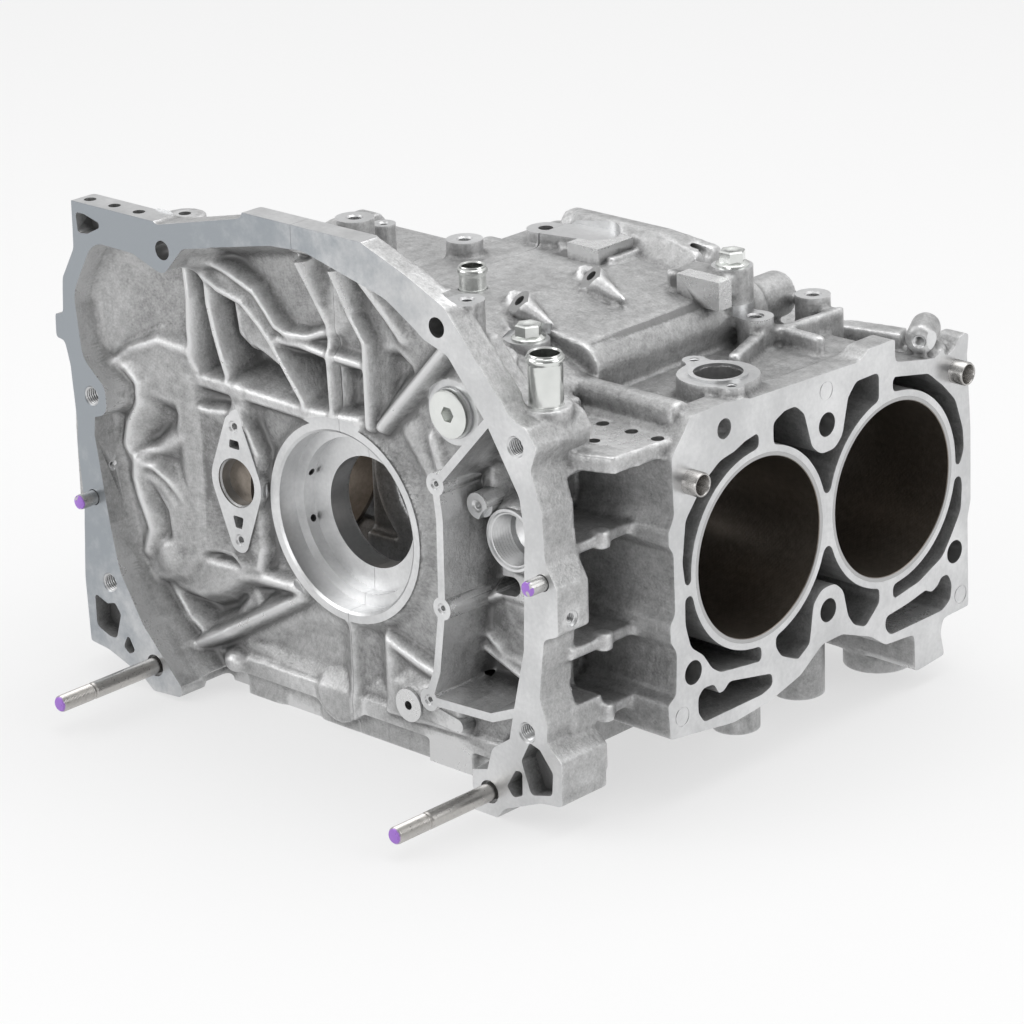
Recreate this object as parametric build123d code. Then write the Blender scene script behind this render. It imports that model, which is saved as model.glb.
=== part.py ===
from build123d import *
import os
from math import atan2, degrees, hypot

# Flat-four crankcase: two aluminium halves that meet on the crankshaft plane X = 0.
# X runs across the engine, Y along the crankshaft away from the gearbox, Z up.
# Heights and widths are counted from the crankshaft axis. While the model is built, Y is
# counted from the gearbox mounting face; at the end the model is moved so that the origin
# lies on the crankshaft axis at the mouth of the rear seal bore.

# cylinders and decks
bore = 99.5
bore_pitch = 113.0
bank_offset = bore_pitch / 2
deck_x = 201.0
first_bore_y = 140.0
liner_wall = 2.5
liner_length = 125.0
barrel_radius = 56.0
jacket_depth = 78.0
drain_depth = 92.0
left_drain_depth = 46.0
bank_inner_x = 96.0
head_bolt_pitch = 112.0
head_bolt_height = 53.5
head_bolt_drill = 10.5
head_bolt_mouth = 13.6
head_bolt_depth = 70.0
sleeve_length = 22.0
sleeve_proud = 9.0
fit_gap = 0.05

# crankshaft line
main_bore = 64.0
main_width = 21.0
main_pitch = bank_offset
rear_main_y = first_bore_y - 1.5 * main_pitch
seal_bore = 103.0
seal_flange = 112.0
seal_face_y = 28.5
seal_depth = 21.0
seal_step_bore = 90.0
seal_step_depth = 13.0

# crankcase shell
wall_y = 34.0
front_y = 308.0
crest_z = 117.0
hump_end_y = 238.0
rail_z = -126.0
rail_half_width = 112.0
rail_rear_y = 31.0
shell_wall = 9.0
crank_clearance_x = 82.0
rib_height = 6.0
rib_width = 6.5

# gearbox studs and dowels
stud_x = 130.5
stud_left_z = -108.5
stud_right_z = -112.5
stud_d = 9.8
stud_thread_d = 9.4
stud_proud = 72.4
stud_thread = 25.6
stud_root = 24.0
stud_relief_d = 13.0
stud_relief_depth = 3.0
dowel_x = 173.5
dowel_z = 16.5
dowel_d = 8.6
dowel_root_d = 8.2
dowel_proud = 11.7
dowel_root = 14.0
dowel_relief_d = 10.4
dowel_relief_depth = 1.0

# hose nipples, flange bolts and plug
nipple_wall = 1.6
nipple_press = 0.4
nipple_bead = 1.0
nipple_land = 2.0
small_nipple_d = 15.0
small_nipple_rise = 13.0
small_nipple_seat = (22.0, 113.0, crest_z)
large_nipple_d = 18.5
large_nipple_rise = 28.0
large_nipple_seat = (155.0, 27.0, 102.0)
nipple_root = 9.0
flange_bolt_across = 13.0
flange_bolt_head = 8.5
flange_bolt_flange = 19.0
flange_bolt_shank = 8.0
flange_bolt_length = 16.0
rear_bolt_seat = (92.0, 82.0, 110.0)
front_bolt_seat = (122.0, 213.0, 124.0)
plug_x = 82.0
plug_z = 80.0
plug_head_d = 27.0
plug_head = 3.2
plug_thread_d = 20.0
plug_length = 14.0
plug_socket = 10.0
plug_washer = 1.6

# bolts that hold the halves together
case_bolt_d = 8.0
case_bolt_upper_z = 90.0
case_bolt_grip = 64.0
case_bolt_bite = 12.0
case_bolt_head_d = 16.0
case_bolt_across = 12.0
case_bolt_head = 8.0
case_pin_d = 12.0
case_pin_length = 18.0
case_pin_z = 53.0

main_ys = [rear_main_y + i * main_pitch for i in range(5)]
right_mid_y = first_bore_y + bore_pitch / 2
left_mid_y = right_mid_y - bank_offset


def face(points):
    """A flat face from corners given as (u, v, corner radius)."""
    corners = [(u, v) for u, v, r in points]
    return make_face(FilletPolyline(*corners, radius=[r for u, v, r in points], close=True))


def bar(start, end, width, grow=0.0):
    """A round-ended bar between two points of a plane."""
    du = end[0] - start[0]
    dv = end[1] - start[1]
    middle = ((start[0] + end[0]) / 2, (start[1] + end[1]) / 2)
    shape = SlotCenterToCenter(hypot(du, dv) + grow, width)
    return Pos(*middle) * Rot(0, 0, degrees(atan2(dv, du))) * shape


def along_y(flat, y0, y1):
    """A face drawn in X and Z, pulled from y0 to y1."""
    return extrude(Pos(0, y1, 0) * (Plane.XZ * flat), amount=y1 - y0)


def along_x(flat, x0, x1):
    """A face drawn in Y and Z, pulled from x0 to x1."""
    return extrude(Pos(x0, 0, 0) * (Plane.YZ * flat), amount=x1 - x0)


def along_z(flat, z0, z1):
    """A face drawn in X and Y, pulled from z0 to z1."""
    return extrude(Pos(0, 0, z0) * flat, amount=z1 - z0)


def rod_x(y, z, d, x0, x1):
    return along_x(Pos(y, z) * Circle(d / 2), x0, x1)


def rod_y(x, z, d, y0, y1):
    return along_y(Pos(x, z) * Circle(d / 2), y0, y1)


def rod_z(x, y, d, z0, z1):
    return along_z(Pos(x, y) * Circle(d / 2), z0, z1)


def chain(points, width):
    """Bars from point to point, as faces."""
    return [bar(a, b, width) for a, b in zip(points, points[1:])]


def between(first, y_first, second, y_second):
    """A flat-sided solid that changes from one X-Z outline to another of as many corners."""
    ends = [Pos(0, y, 0) * (Plane.XZ * make_face(Polyline(*points, close=True)))
            for points, y in ((first, y_first), (second, y_second))]
    return loft(ends, ruled=True)


# gearbox flange, drawn in X and Z on the mounting face
flange_outline = [
    (-175, 158, 0), (-110.5, 158, 0), (-106, 156.5, 0), (-38.2, 172.3, 0), (-35.5, 175.8, 0),
    (52, 175.8, 10), (83, 164.5, 14), (110, 152.4, 16), (143, 115.7, 0), (155.6, 101.5, 0),
    (166, 98, 8), (172.5, 88, 0), (167.8, 76, 0), (175, 53, 8), (176, 27.8, 0), (184, 14, 8),
    (183.5, -11, 0), (173.5, -15, 0), (169, -49, 0), (174, -64, 0), (173, -73, 0),
    (183.3, -82, 0), (182.8, -107, 0), (168, -108.5, 0), (141, -119.5, 0), (133, -126, 0),
    (119, -126, 0), (119, -110, 0), (112, -104, 0), (-100, -104, 0), (-111, -123, 0),
    (-133, -124.8, 0), (-141, -118.5, 0), (-170, -108.5, 0), (-184.5, -107, 0),
    (-186, -68, 0), (-182, -20, 0), (-184.5, 14, 0), (-183, 24, 0), (-185.5, 60, 0), (-189, 74, 0),
    (-196, 74.4, 0), (-195.5, 88.7, 0), (-188.8, 89.4, 0), (-187, 111, 0), (-175.7, 130.4, 0),
]
bell_opening = [
    (-179, 104, 22), (-160, 137.5, 16), (-127, 137, 14), (-102.5, 129, 7), (-86, 147, 9),
    (-16, 161.3, 20), (8, 163, 20), (68.5, 148.5, 30), (96, 132, 0), (112, 127, 10),
    (138.2, 95.6, 20), (160, 60, 14), (162.8, 40, 20), (159.5, -25, 20), (150.5, -62, 0),
    (147, -78, 0), (134, -87, 8), (130, -100, 0), (119, -103, 0), (117, -140, 0),
    (-109, -140, 0), (-109.5, -117, 0), (-139, -86, 30), (-156, -57, 30), (-161.5, -30, 30),
    (-169.5, 22, 0), (-168, 33, 0), (-157.5, 37, 8), (-158, 52, 8), (-175, 66, 16),
]
divider = [(139, 96.5), (99.2, 53.3), (101.5, 34), (100.6, -16), (95.1, -52.7), (88.2, -71.2),
           (114.7, -70), (134.3, -69), (153, -61)]
divider_width = 5.2
divider_screws = [(99.2, 53.3), (100.6, -16), (88.2, -71.2)]
flange_clear_holes = [(-102, 142.7), (105, 140.1)]
flange_tapped_holes = [(157.8, 86.8), (-169.5, 44.8), (-164.9, -66.5), (159.3, -70.8)]
flange_pockets = [
    [(158.5, -77, 0), (165.8, -76, 0), (177, -87.5, 0), (177, -100, 0), (160.5, -106, 0), (154, -90.5, 0)],
    [(148.9, -97, 0), (143.5, -106.5, 0), (149, -110.5, 0), (153.6, -108, 0)],
    [(-178, -75, 0), (-164.5, -79, 0), (-158.5, -84, 0), (-163.3, -100.5, 0), (-178.5, -96, 0)],
    [(-153, -94, 0), (-146, -100.7, 0), (-149.2, -106.2, 0), (-156, -100.8, 0)],
    [(-172, 151, 0), (-160, 151, 0), (-164, 138, 0), (-171.5, 137, 0)],
]

# ribs on the rear wall, drawn in X and Z
wall_ribs = [
    [(-118, 124), (-116, 98), (-112, 64)],
    [(-103, 124), (-99, 100), (-91, 60)],
    [(-108, 128), (-86, 116), (-66, 110), (-54, 96), (-24, 58)],
    [(-90, 131), (-62, 119), (-46, 102), (-22, 104), (-10, 107)],
    [(-54, 96), (-26, 95), (-9, 93)],
    [(-77, 113), (-76, 91), (-69, 84)],
    [(-126, 59), (-91, 57), (-40, 58), (-9, 57)],
    [(13, 148), (13, 120), (22, 107), (19, 54)],
    [(-10, 147), (-9, 91), (-7, 56)],
    [(26, 140), (43, 111)],
    [(94, 129), (26, 57)],
    [(-136, -108), (-54, -64), (-31, -50)],
    [(-84, -50), (-34, -48)],
    [(22, -54), (88, -71)],
]
# pockets between the ribs, with their depths
wall_pockets = [
    (16, [(-113, 121, 0), (-107, 117, 0), (-104, 96, 0), (-96, 67, 0), (-108, 65, 0), (-112, 96, 0)]),
    (14, [(-99, 116, 0), (-81, 108, 0), (-80, 90, 0), (-70, 79, 0), (-73, 66, 0), (-88, 62, 0),
          (-95, 98, 0)]),
    (14, [(-50, 88, 0), (-14, 90, 0), (-12, 62, 0), (-29, 62, 0)]),
    (10, [(-84, 63, 0), (-50, 84, 0), (-38, 63, 0)]),
    (12, [(-6, 88, 0), (15, 90, 0), (15, 62, 0), (-4, 60, 0)]),
    (10, [(24, 103, 0), (41, 108, 0), (58, 96, 0), (23, 60, 0)]),
    (8, [(-136, -70, 0), (-94, -60, 0), (-83, -55, 0), (-58, -56, 0), (-58, -62, 0), (-114, -91, 0)]),
    (6, [(5, -60, 0), (22, -60, 0), (62, -76, 0), (58, -84, 0), (30, -80, 0), (5, -98, 0)]),
]
case_rib_width = 9.0

# cylinder deck, drawn in Y and Z, Y counted from the middle of the bank
deck_outline = [
    (-126, 70, 0), (-110, 89, 0), (-83, 89, 0), (-64, 85.5, 8), (28, 81.5, 8), (36, 86.5, 0),
    (58.5, 86.5, 0), (58.5, 73, 0), (104, 63.5, 0), (111, 66.5, 0), (117, 73, 0), (124, 73, 0),
    (122.5, 60, 0),
    (126, 18, 20), (126.5, -27, 0), (123.8, -36, 0), (125, -90, 0), (101.5, -90.5, 0),
    (99.5, -99, 0), (103, -113, 0), (76.5, -115, 0), (75.5, -92, 0), (50, -90, 0), (37, -81, 0),
    (12, -71.5, 8), (-5.5, -72, 8), (-24, -84, 8), (-49.5, -90.5, 10), (-80, -93, 8),
    (-107.5, -89, 0), (-131, -86, 0), (-132.5, -66, 0), (-126, -62, 0), (-124.8, -38, 0),
    (-129.5, -31, 0), (-129.5, -22, 0), (-125.5, -16, 0), (-126, 18, 0), (-129.5, 22, 0),
    (-129.5, 30, 0), (-124.8, 38, 0), (-125.5, 54, 0),
]
# water windows round the barrels; the barrel walls are added back afterwards
water_windows = [
    [(-56.5, 30, 0), (-56.5, 65, 0), (-68, 63, 0), (-76, 60, 0), (-88, 58, 0), (-101, 50, 8),
     (-116, 33, 6), (-119, 10, 12), (-117, -3.5, 0), (-90, -3.5, 0)],
    [(-90, -9.5, 0), (-117.5, -9.5, 0), (-117.5, -25, 6), (-113.5, -39, 8), (-104, -46, 6),
     (-97, -56, 6), (-90, -60.5, 0), (-56.5, -65, 0), (-56.5, -40, 0)],
    [(-44.5, 30, 0), (-44.5, 67, 0), (-35, 71, 0), (-26, 71, 0), (-19, 65, 0), (-12.5, 44, 8),
     (-5, 38, 9), (6.5, 38, 9), (13, 44, 8), (18, 64, 0), (25, 71, 0), (44.5, 71, 0), (44.5, 30, 0),
     (0, 14, 0)],
    [(-44.5, -30, 0), (-44.5, -61, 0), (-40, -67.5, 0), (-26, -74, 0), (-16, -68, 0), (-12.5, -46, 8),
     (-5, -39.5, 9), (6, -39.5, 9), (13, -46, 8), (17, -62, 0), (22, -69, 0), (32, -73.5, 0),
     (44.5, -63, 0), (44.5, -30, 0), (0, -16, 0)],
    [(56.5, 30, 0), (56.5, 65, 0), (88, 58.5, 0), (101, 48, 6), (112, 37, 8), (119, 18, 8),
     (120, 6, 0), (116.5, -2.5, 0), (90, -2.5, 0)],
    [(90, -9, 0), (117, -9, 0), (118.5, -15, 0), (117.5, -30, 8), (108, -44, 6), (101, -53, 6),
     (80, -61.5, 10), (56.5, -65, 0), (56.5, -40, 0)],
]
drain_windows = [
    [(-108.5, -69, 0), (-104, -65, 0), (-95.5, -65.5, 0), (-92, -72, 0), (-87.5, -72, 0), (-83, -68, 0),
     (-48, -75, 0), (-47.5, -82, 0), (-56, -84.5, 0), (-104, -84.5, 0), (-108.5, -78, 0)],
    [(50, -73.5, 0), (70, -71.5, 0), (86, -68.5, 0), (91, -71.5, 0), (97, -69, 0), (99.5, -65, 0),
     (106, -65, 0), (109.5, -72, 0), (108.5, -81, 0), (101, -85.5, 0), (54, -85.5, 0), (49.5, -80, 0)],
]
oil_feed = (-84.1, 74.7)
oil_feed_d = 11.5
deck_rim = 16.0
bank_top_z = 80.5
front_wing_y = 100.0
front_wing_z = 64.0


def bank(side, mid_y):
    """One bank of two cylinders; the left bank is the right one turned half a turn about Z."""

    def placed(flat):
        return Pos(mid_y, 0) * (flat if side > 0 else mirror(flat, Plane.YZ))

    def span(flat, deep):
        """From the deck inwards by the given depth."""
        if side > 0:
            return along_x(placed(flat), deck_x - deep, deck_x)
        return along_x(placed(flat), -deck_x, -deck_x + deep)

    reach = deck_x - bank_inner_x
    body = span(face(deck_outline), deck_rim)
    lower = face(deck_outline) & Pos(0, bank_top_z - 200) * Rectangle(600, 400)
    lower -= Pos(front_wing_y + 50, front_wing_z + 50) * Rectangle(100, 100)
    body += span(lower, reach)

    cuts = []
    barrels = [Pos(sign * bore_pitch / 2, 0) * Circle(barrel_radius) for sign in (-1, 1)]
    for window in water_windows:
        flat = face(window)
        for barrel in barrels:
            flat -= barrel
        cuts.append(span(flat, jacket_depth))
    drained = drain_depth if side > 0 else left_drain_depth
    for window in drain_windows:
        cuts.append(span(face(window), drained))
    cuts.append(span(Pos(*oil_feed) * Circle(oil_feed_d / 2), drained))
    for i in (-1, 0, 1):
        for sign in (-1, 1):
            spot = Pos(i * head_bolt_pitch, sign * head_bolt_height)
            cuts.append(span(spot * Circle(head_bolt_drill / 2), head_bolt_depth))
            if i and sign > 0:
                cuts.append(span(spot * Circle(head_bolt_mouth / 2), sleeve_length - sleeve_proud))
    return body, cuts


def sleeve_places(side, mid_y):
    turn = 1 if side > 0 else -1
    return [(mid_y + turn * i * head_bolt_pitch, head_bolt_height) for i in (-1, 1)]


right_bank, right_cuts = bank(1, right_mid_y)
left_bank, left_cuts = bank(-1, left_mid_y)

# crankcase shell, drawn in X and Z: a hump over the crankshaft, lower towards the front
side_low = [(126, -86, 6), (rail_half_width, -100, 4), (rail_half_width, rail_z, 0),
            (-rail_half_width, rail_z, 0), (-rail_half_width, -100, 4), (-126, -86, 6)]
hump_section = [(-126, 72, 10), (-92, 84, 14), (-56, 104, 14), (-28, crest_z, 20), (54, crest_z, 12),
                (88, 108, 10), (126, 92, 8)]
front_section = [(-126, 60, 10), (-60, 78, 14), (0, 86, 20), (56, 77, 14), (104, 68, 10), (126, 60, 8)]
shell = along_y(face(hump_section + side_low), wall_y, hump_end_y)
shell += along_y(face(front_section + side_low), hump_end_y, front_y)

flange_depth = 44.0
flange_block = along_y(face(flange_outline), 0, flange_depth)
rail_rear = along_y(face([(-92, -100, 2), (rail_half_width, -100, 2), (rail_half_width, rail_z, 0),
                          (-92, rail_z, 0)]), rail_rear_y, wall_y + 2)

casting = flange_block + shell + rail_rear + right_bank + left_bank

# the arch of the flange is a narrow rim; behind it the roof falls to the crankcase
rim_depth = 14.0
arch_front = [(-108, 200), (-108, 157), (-38, 172), (52, 174), (84, 163), (100, 156), (100, 200)]
arch_back = [(-108, 200), (-108, 140), (-38, 152), (48, 152), (84, 138), (98, 124), (98, 200)]
casting -= between(arch_front, rim_depth, arch_back, flange_depth + 1)
saddle = [(flange_depth - 2, 152, 0), (flange_depth - 2, 100, 0), (94, 100, 0), (94, crest_z - 2, 0),
          (66, 130, 20)]
casting += along_x(face(saddle), -38, 48)

# beyond the step of the bell, the right side is cut back to the wall of the bank
side_step_y = 25.0
flange_back = flange_depth + 1
side_cut = face([(150, 66, 0), (200, 66, 0), (200, -60, 0), (150, -60, 0)])
foot_cut = face([(150, -70, 0), (200, -70, 0), (200, -140, 0), (150, -140, 0)])
casting -= along_y(side_cut, side_step_y, flange_back)
casting -= along_y(foot_cut, side_step_y + 11, flange_back)

# the upper left ledge of the flange is shallow
ledge_depth = 17.0
ledge_cut = face([(-200, 141, 0), (-112, 141, 0), (-112, 170, 0), (-200, 170, 0)])
casting -= along_y(ledge_cut, ledge_depth, flange_back)

# hollow of the gearbox flange; its roof comes down towards the wall
bell_hollow = along_y(face(bell_opening), -1, wall_y)
roof_front = [(-104, 129), (-86, 147), (-16, 161.5), (8, 163.5), (68.5, 149), (97, 132),
              (100, 140), (72, 156), (10, 168), (-18, 167), (-90, 152), (-110, 136)]
roof_back = [(-98, 119), (-82, 131), (-16, 145), (8, 146), (60, 133), (86, 117),
             (100, 140), (72, 156), (10, 168), (-18, 167), (-90, 152), (-110, 136)]
bell_hollow -= between(roof_front, 1, roof_back, wall_y + 1)
low_gap = along_y(face([(-108, -90, 0), (117, -90, 0), (117, -140, 0), (-108, -140, 0)]), -1, rail_rear_y)
# the water jacket of the rear left barrel stands into the bell, and above it the floor slopes
jacket_y = 17.0
jacket_front = [(-167, 46), (-150, 54), (-129, 50), (-122, 22), (-122, -22), (-129, -52), (-148, -60),
                (-162, -40)]
jacket_back = [(-182, 60), (-160, 72), (-121, 66), (-117, 22), (-117, -30), (-121, -64), (-150, -78),
               (-172, -40)]
bell_hollow -= between(jacket_front, jacket_y, jacket_back, wall_y + 1)
slope = face([(-184, jacket_y - 1, 0), (-117, wall_y, 0), (-117, wall_y + 2, 0), (-184, wall_y + 2, 0)])
bell_hollow -= along_z(slope, 55, 140)
casting -= bell_hollow
casting -= low_gap
for depth, pocket in wall_pockets:
    casting -= along_y(face(pocket), wall_y - 1, wall_y + depth)

# divider of the side bay, wall ribs, seal housing and pads
adds = []
for piece in chain(divider, divider_width):
    adds.append(along_y(piece, 0, wall_y + 1))
for x, z in divider_screws:
    adds.append(rod_y(x, z, 14, 0, wall_y + 1))
for rib in wall_ribs:
    for piece in chain(rib, rib_width):
        adds.append(along_y(piece, wall_y - rib_height, wall_y + 1))
adds.append(along_y(bar((0, -50), (0, -112), case_rib_width), rail_rear_y - 1, wall_y + 1))
adds.append(rod_y(0, 0, seal_flange, seal_face_y, wall_y + 1))
pad_x = -79.7
pad_z = 6.3
pad_y = 24.0
pad_plate_y = 27.5
pad_screws = (pad_z + 33, pad_z - 34)
pad_flange = make_hull([
    e for spot, r in (((pad_x, pad_z), 19.5), ((pad_x, pad_screws[0]), 7.0), ((pad_x, pad_screws[1]), 7.0))
    for e in (Pos(*spot) * Circle(r)).edges()])
adds.append(along_y(pad_flange, pad_y, wall_y + 1))
pad_plate = [(-127, 60, 0), (-127, -44, 0), (-84, -50, 0), (-60, -40, 6), (-60, 30, 6), (-74, 60, 0)]
adds.append(along_y(face(pad_plate), pad_plate_y, wall_y + 1))
adds.append(rod_y(plug_x, plug_z, plug_head_d + 5, seal_face_y + plug_head + plug_washer, wall_y + 1))
knock_boss = (50.0, -92.0)
adds.append(rod_y(*knock_boss, 19, 22, wall_y + 1))
adds.append(rod_y(*knock_boss, 30, wall_y - 5, wall_y + 1))
adds.append(rod_y(-14, -104, 36, wall_y - 4, wall_y + 1))
bay_port = (133.0, 24.0)
adds.append(rod_y(*bay_port, 36, 20, wall_y + 1))
bay_screw = (101.0, 33.0)
adds.append(rod_y(*bay_screw, 12, 26, wall_y + 1))

# webs between the gearbox flange and the right bank
bank_rear_y = right_mid_y + deck_outline[-1][0]
web_y0 = flange_depth - 4
shelf_x = 175.0
back_web = face([(100, 88, 3), (134, 88, 3), (134, -84, 3), (100, -84, 3)])
adds.append(along_y(back_web, web_y0, bank_rear_y + 6))
for z in (27, -30, -70):
    shelf = face([(120, web_y0, 0), (150, side_step_y - 6, 0), (shelf_x, side_step_y - 6, 0),
                  (shelf_x, bank_rear_y - 6, 0), (deck_x - 8, bank_rear_y + 2, 0),
                  (deck_x - 8, bank_rear_y + 4, 0), (120, bank_rear_y + 4, 0)])
    adds.append(along_z(shelf, z - 3, z + 3))
    adds.append(rod_z(shelf_x - 2, 46, 10, z - 5, z + 5))
adds.append(along_z(face([(120, 30, 0), (168, 28, 3), (192, 36, 3), (196, bank_rear_y + 6, 0),
                          (120, bank_rear_y + 6, 0)]), 69, 78))
adds.append(rod_x(bank_rear_y + 18, 86, 16, 100, 192))

# top of the crankcase: coolant duct, ports, bosses and pads
duct_x = 112.0
duct_z = 93.0
duct_d = 32.0
stub_d = 26.5
duct_end_y = 236.0
stub_end_y = 265.0
duct_start_y = 96.0
adds.append(rod_y(duct_x, duct_z, duct_d, duct_start_y, duct_end_y))
duct_web = face([(54, crest_z, 0), (duct_x, duct_z + duct_d / 2, 0), (duct_x, duct_z, 0), (54, duct_z, 0)])
adds.append(along_y(duct_web, duct_start_y, duct_end_y))
ledge_boss = (-113.0, 28.0, 155.0)
adds.append(rod_z(ledge_boss[0], ledge_boss[1], 22, 137, ledge_boss[2]))
adds.append(rod_y(duct_x, duct_z, stub_d, duct_end_y, stub_end_y))
port_seat = (175.0, 138.5, 94.0)
port_d = 45.0
port_bore = 26.5
adds.append(rod_z(port_seat[0], port_seat[1], port_d, 76, port_seat[2]))
port_ears = [(150, 148), (193, 128)]
for x, y in port_ears:
    adds.append(along_z(bar((port_seat[0], port_seat[1]), (x, y), 14), 80, port_seat[2]))
top_bosses = [(138, 213), (138, 262)]
top_boss_z = 98.0
for x, y in top_bosses:
    adds.append(rod_z(x, y, 20, 60, top_boss_z))
port_rib = [(157, 173), (145, 205), (144, 225), (174, 223)]
for piece in chain(port_rib, 7):
    adds.append(along_z(piece, 76, 91))
front_boss = (190.0, 296.0, 80.0)
adds.append(rod_z(front_boss[0], front_boss[1], 22, 40, front_boss[2]))
adds.append(along_z(bar((146, 284), (178, 291), 14), 50, 77))
adds.append(along_z(bar((150, 228), (153, 266), 6), 70, 92))
arm_hole = (-4.0, 200.0)
arm_z = 125.0
adds.append(along_z(bar(arm_hole, (28, 207), 22), 108, arm_z))
adds.append(along_z(face([(14, 190, 2), (54, 190, 2), (54, 224, 2), (14, 228, 2)]), 108, 120))
wedge = face([(94, 189, 0), (128.5, 190.5, 0), (131, 204, 0), (131, 214, 0), (96, 214, 0)])
adds.append(along_z(wedge, 111, 121.5))
adds.append(rod_z(front_bolt_seat[0], front_bolt_seat[1], 23, 92, front_bolt_seat[2]))
adds.append(rod_z(rear_bolt_seat[0], rear_bolt_seat[1], 23, 90, rear_bolt_seat[2]))
adds.append(rod_z(small_nipple_seat[0], small_nipple_seat[1], 22, 100, small_nipple_seat[2]))
adds.append(rod_z(large_nipple_seat[0], large_nipple_seat[1], 27, 84, large_nipple_seat[2]))
column = (106.0, 22.0, 150.0)
adds.append(rod_z(column[0], column[1], 24, 128, column[2]) - bell_hollow)
adds.append(along_z(bar((column[0], column[1]), (100, 48), 24), 100, 138) - bell_hollow)
left_bosses = [(-45, 91, 150, 22), (-48, 116, 140, 14), (-24, 155, 126, 21)]
for x, y, z, d in left_bosses:
    adds.append(rod_z(x, y, d, 96, z))
ridge_y = 225.0
ridge = face([(hump_end_y, 100, 0), (hump_end_y, 122, 4), (ridge_y + 5, 130, 6), (ridge_y - 6, 130, 6),
              (ridge_y - 16, crest_z - 4, 0), (ridge_y - 16, 100, 0)])
adds.append(along_x(ridge, -8, 94) & along_y(face([(-8, 90, 0), (-8, 131, 0), (56, 131, 20), (94, 124, 0),
                                                   (94, 90, 0)]), 200, 240))
inclined_bosses = [(59, 112, 117), (59, 168, 117)]
for x, y, z in inclined_bosses:
    adds.append(Pos(x, y, z) * Rot(0, 35, 0) * Pos(0, 0, -14) * Cylinder(8.5, 28))
for y in main_ys[1:4]:
    adds.append(rod_x(y, case_bolt_upper_z, case_bolt_head_d + 6, -case_bolt_grip - 12, 0))

# round feet below the banks
feet = [(155, 172, 27), (150, 232, 30), (157.5, 294, 40)]
for x, y, d in feet:
    adds.append(rod_z(x, y, d, rail_z, -80))
for x, y, d in feet:
    adds.append(rod_z(-x, 2 * left_mid_y + bank_offset - y, d, rail_z, -80))

# front face: pads for the oil pump and the coolant pump
oil_pump_pad = make_hull([
    e for spot, r in (((0, 0), 54), ((-38, -68), 12), ((40, -66), 12), ((48, 52), 12), ((-50, 46), 12))
    for e in (Pos(*spot) * Circle(r)).edges()])
front_pad = 4.0
adds.append(along_y(oil_pump_pad, front_y - 2, front_y + front_pad))
water_pump = (-92.0, 6.0)
adds.append(along_y(Pos(*water_pump) * RectangleRounded(62, 92, 14), front_y - 2, front_y + front_pad))

casting = casting + adds

# bays of the crankshaft, open to the oil pan
skirt_x = 98.0
bay_section = [
    (-skirt_x, rail_z - 1, 0), (skirt_x, rail_z - 1, 0), (skirt_x, -84, 6), (crank_clearance_x, -62, 8),
    (crank_clearance_x, 46, 20), (66, 88, 20), (24, crest_z - 10, 20), (-24, crest_z - 10, 20),
    (-60, 84, 20), (-crank_clearance_x, 46, 20), (-crank_clearance_x, -62, 8), (-skirt_x, -84, 6),
]
front_bay_section = bay_section[:5] + [(50, 66, 12), (0, 76, 12), (-50, 66, 12)] + bay_section[9:]
cuts = []
main_housing = 50.0
bulkhead_web = 10.0
relief = (main_width - bulkhead_web) / 2
for a, b in zip(main_ys, main_ys[1:]):
    outline = face(bay_section if b < hump_end_y else front_bay_section)
    cuts.append(along_y(outline, a + main_width / 2, b - main_width / 2))
    wide = outline - Circle(main_housing)
    wide -= Pos(0, case_pin_z) * Rectangle(200, 26)
    wide -= Pos(0, -case_pin_z) * Rectangle(200, 26)
    wide -= Pos(0, case_bolt_upper_z) * Rectangle(200, 40)
    cuts.append(along_y(wide, a + main_width / 2 - relief, b - main_width / 2 + relief))
skirt = face([(-skirt_x, rail_z - 1, 0), (skirt_x, rail_z - 1, 0), (skirt_x, -90, 8), (-skirt_x, -90, 8)])
cuts.append(along_y(skirt, flange_depth + 2, front_y - shell_wall))
cuts.append(rod_y(0, 0, main_bore, seal_face_y, front_y + 10))
cuts.append(rod_y(0, 0, seal_bore, seal_face_y - 1, seal_face_y + seal_step_depth))
cuts.append(rod_y(0, 0, seal_step_bore, seal_face_y, seal_face_y + seal_depth))
cuts.append(rod_y(0, 0, 84, main_ys[-1] + main_width / 2, front_y + 10))
cuts.append(rod_y(*water_pump, 40, front_y - shell_wall - 20, front_y + 10))
for dx, dz in ((-23, -38), (23, -38), (-23, 38), (23, 38)):
    cuts.append(rod_y(water_pump[0] + dx, water_pump[1] + dz, 6.6, front_y - 14, front_y + 10))

# cylinders, with the seats of the cast-in liners
liner_r = bore / 2 + liner_wall
piston_relief_x = 58.0
piston_relief = bore + 4
cylinders = [(1, first_bore_y), (-1, first_bore_y - bank_offset),
             (1, first_bore_y + bore_pitch), (-1, first_bore_y - bank_offset + bore_pitch)]
for side, y in cylinders:
    inner = deck_x - liner_length
    if side > 0:
        cuts.append(rod_x(y, 0, 2 * liner_r, inner, deck_x + 1))
        cuts.append(rod_x(y, 0, piston_relief, piston_relief_x, inner + 1))
    else:
        cuts.append(rod_x(y, 0, 2 * liner_r, -deck_x - 1, -inner))
        cuts.append(rod_x(y, 0, piston_relief, -inner - 1, -piston_relief_x))
cuts += right_cuts + left_cuts

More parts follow.
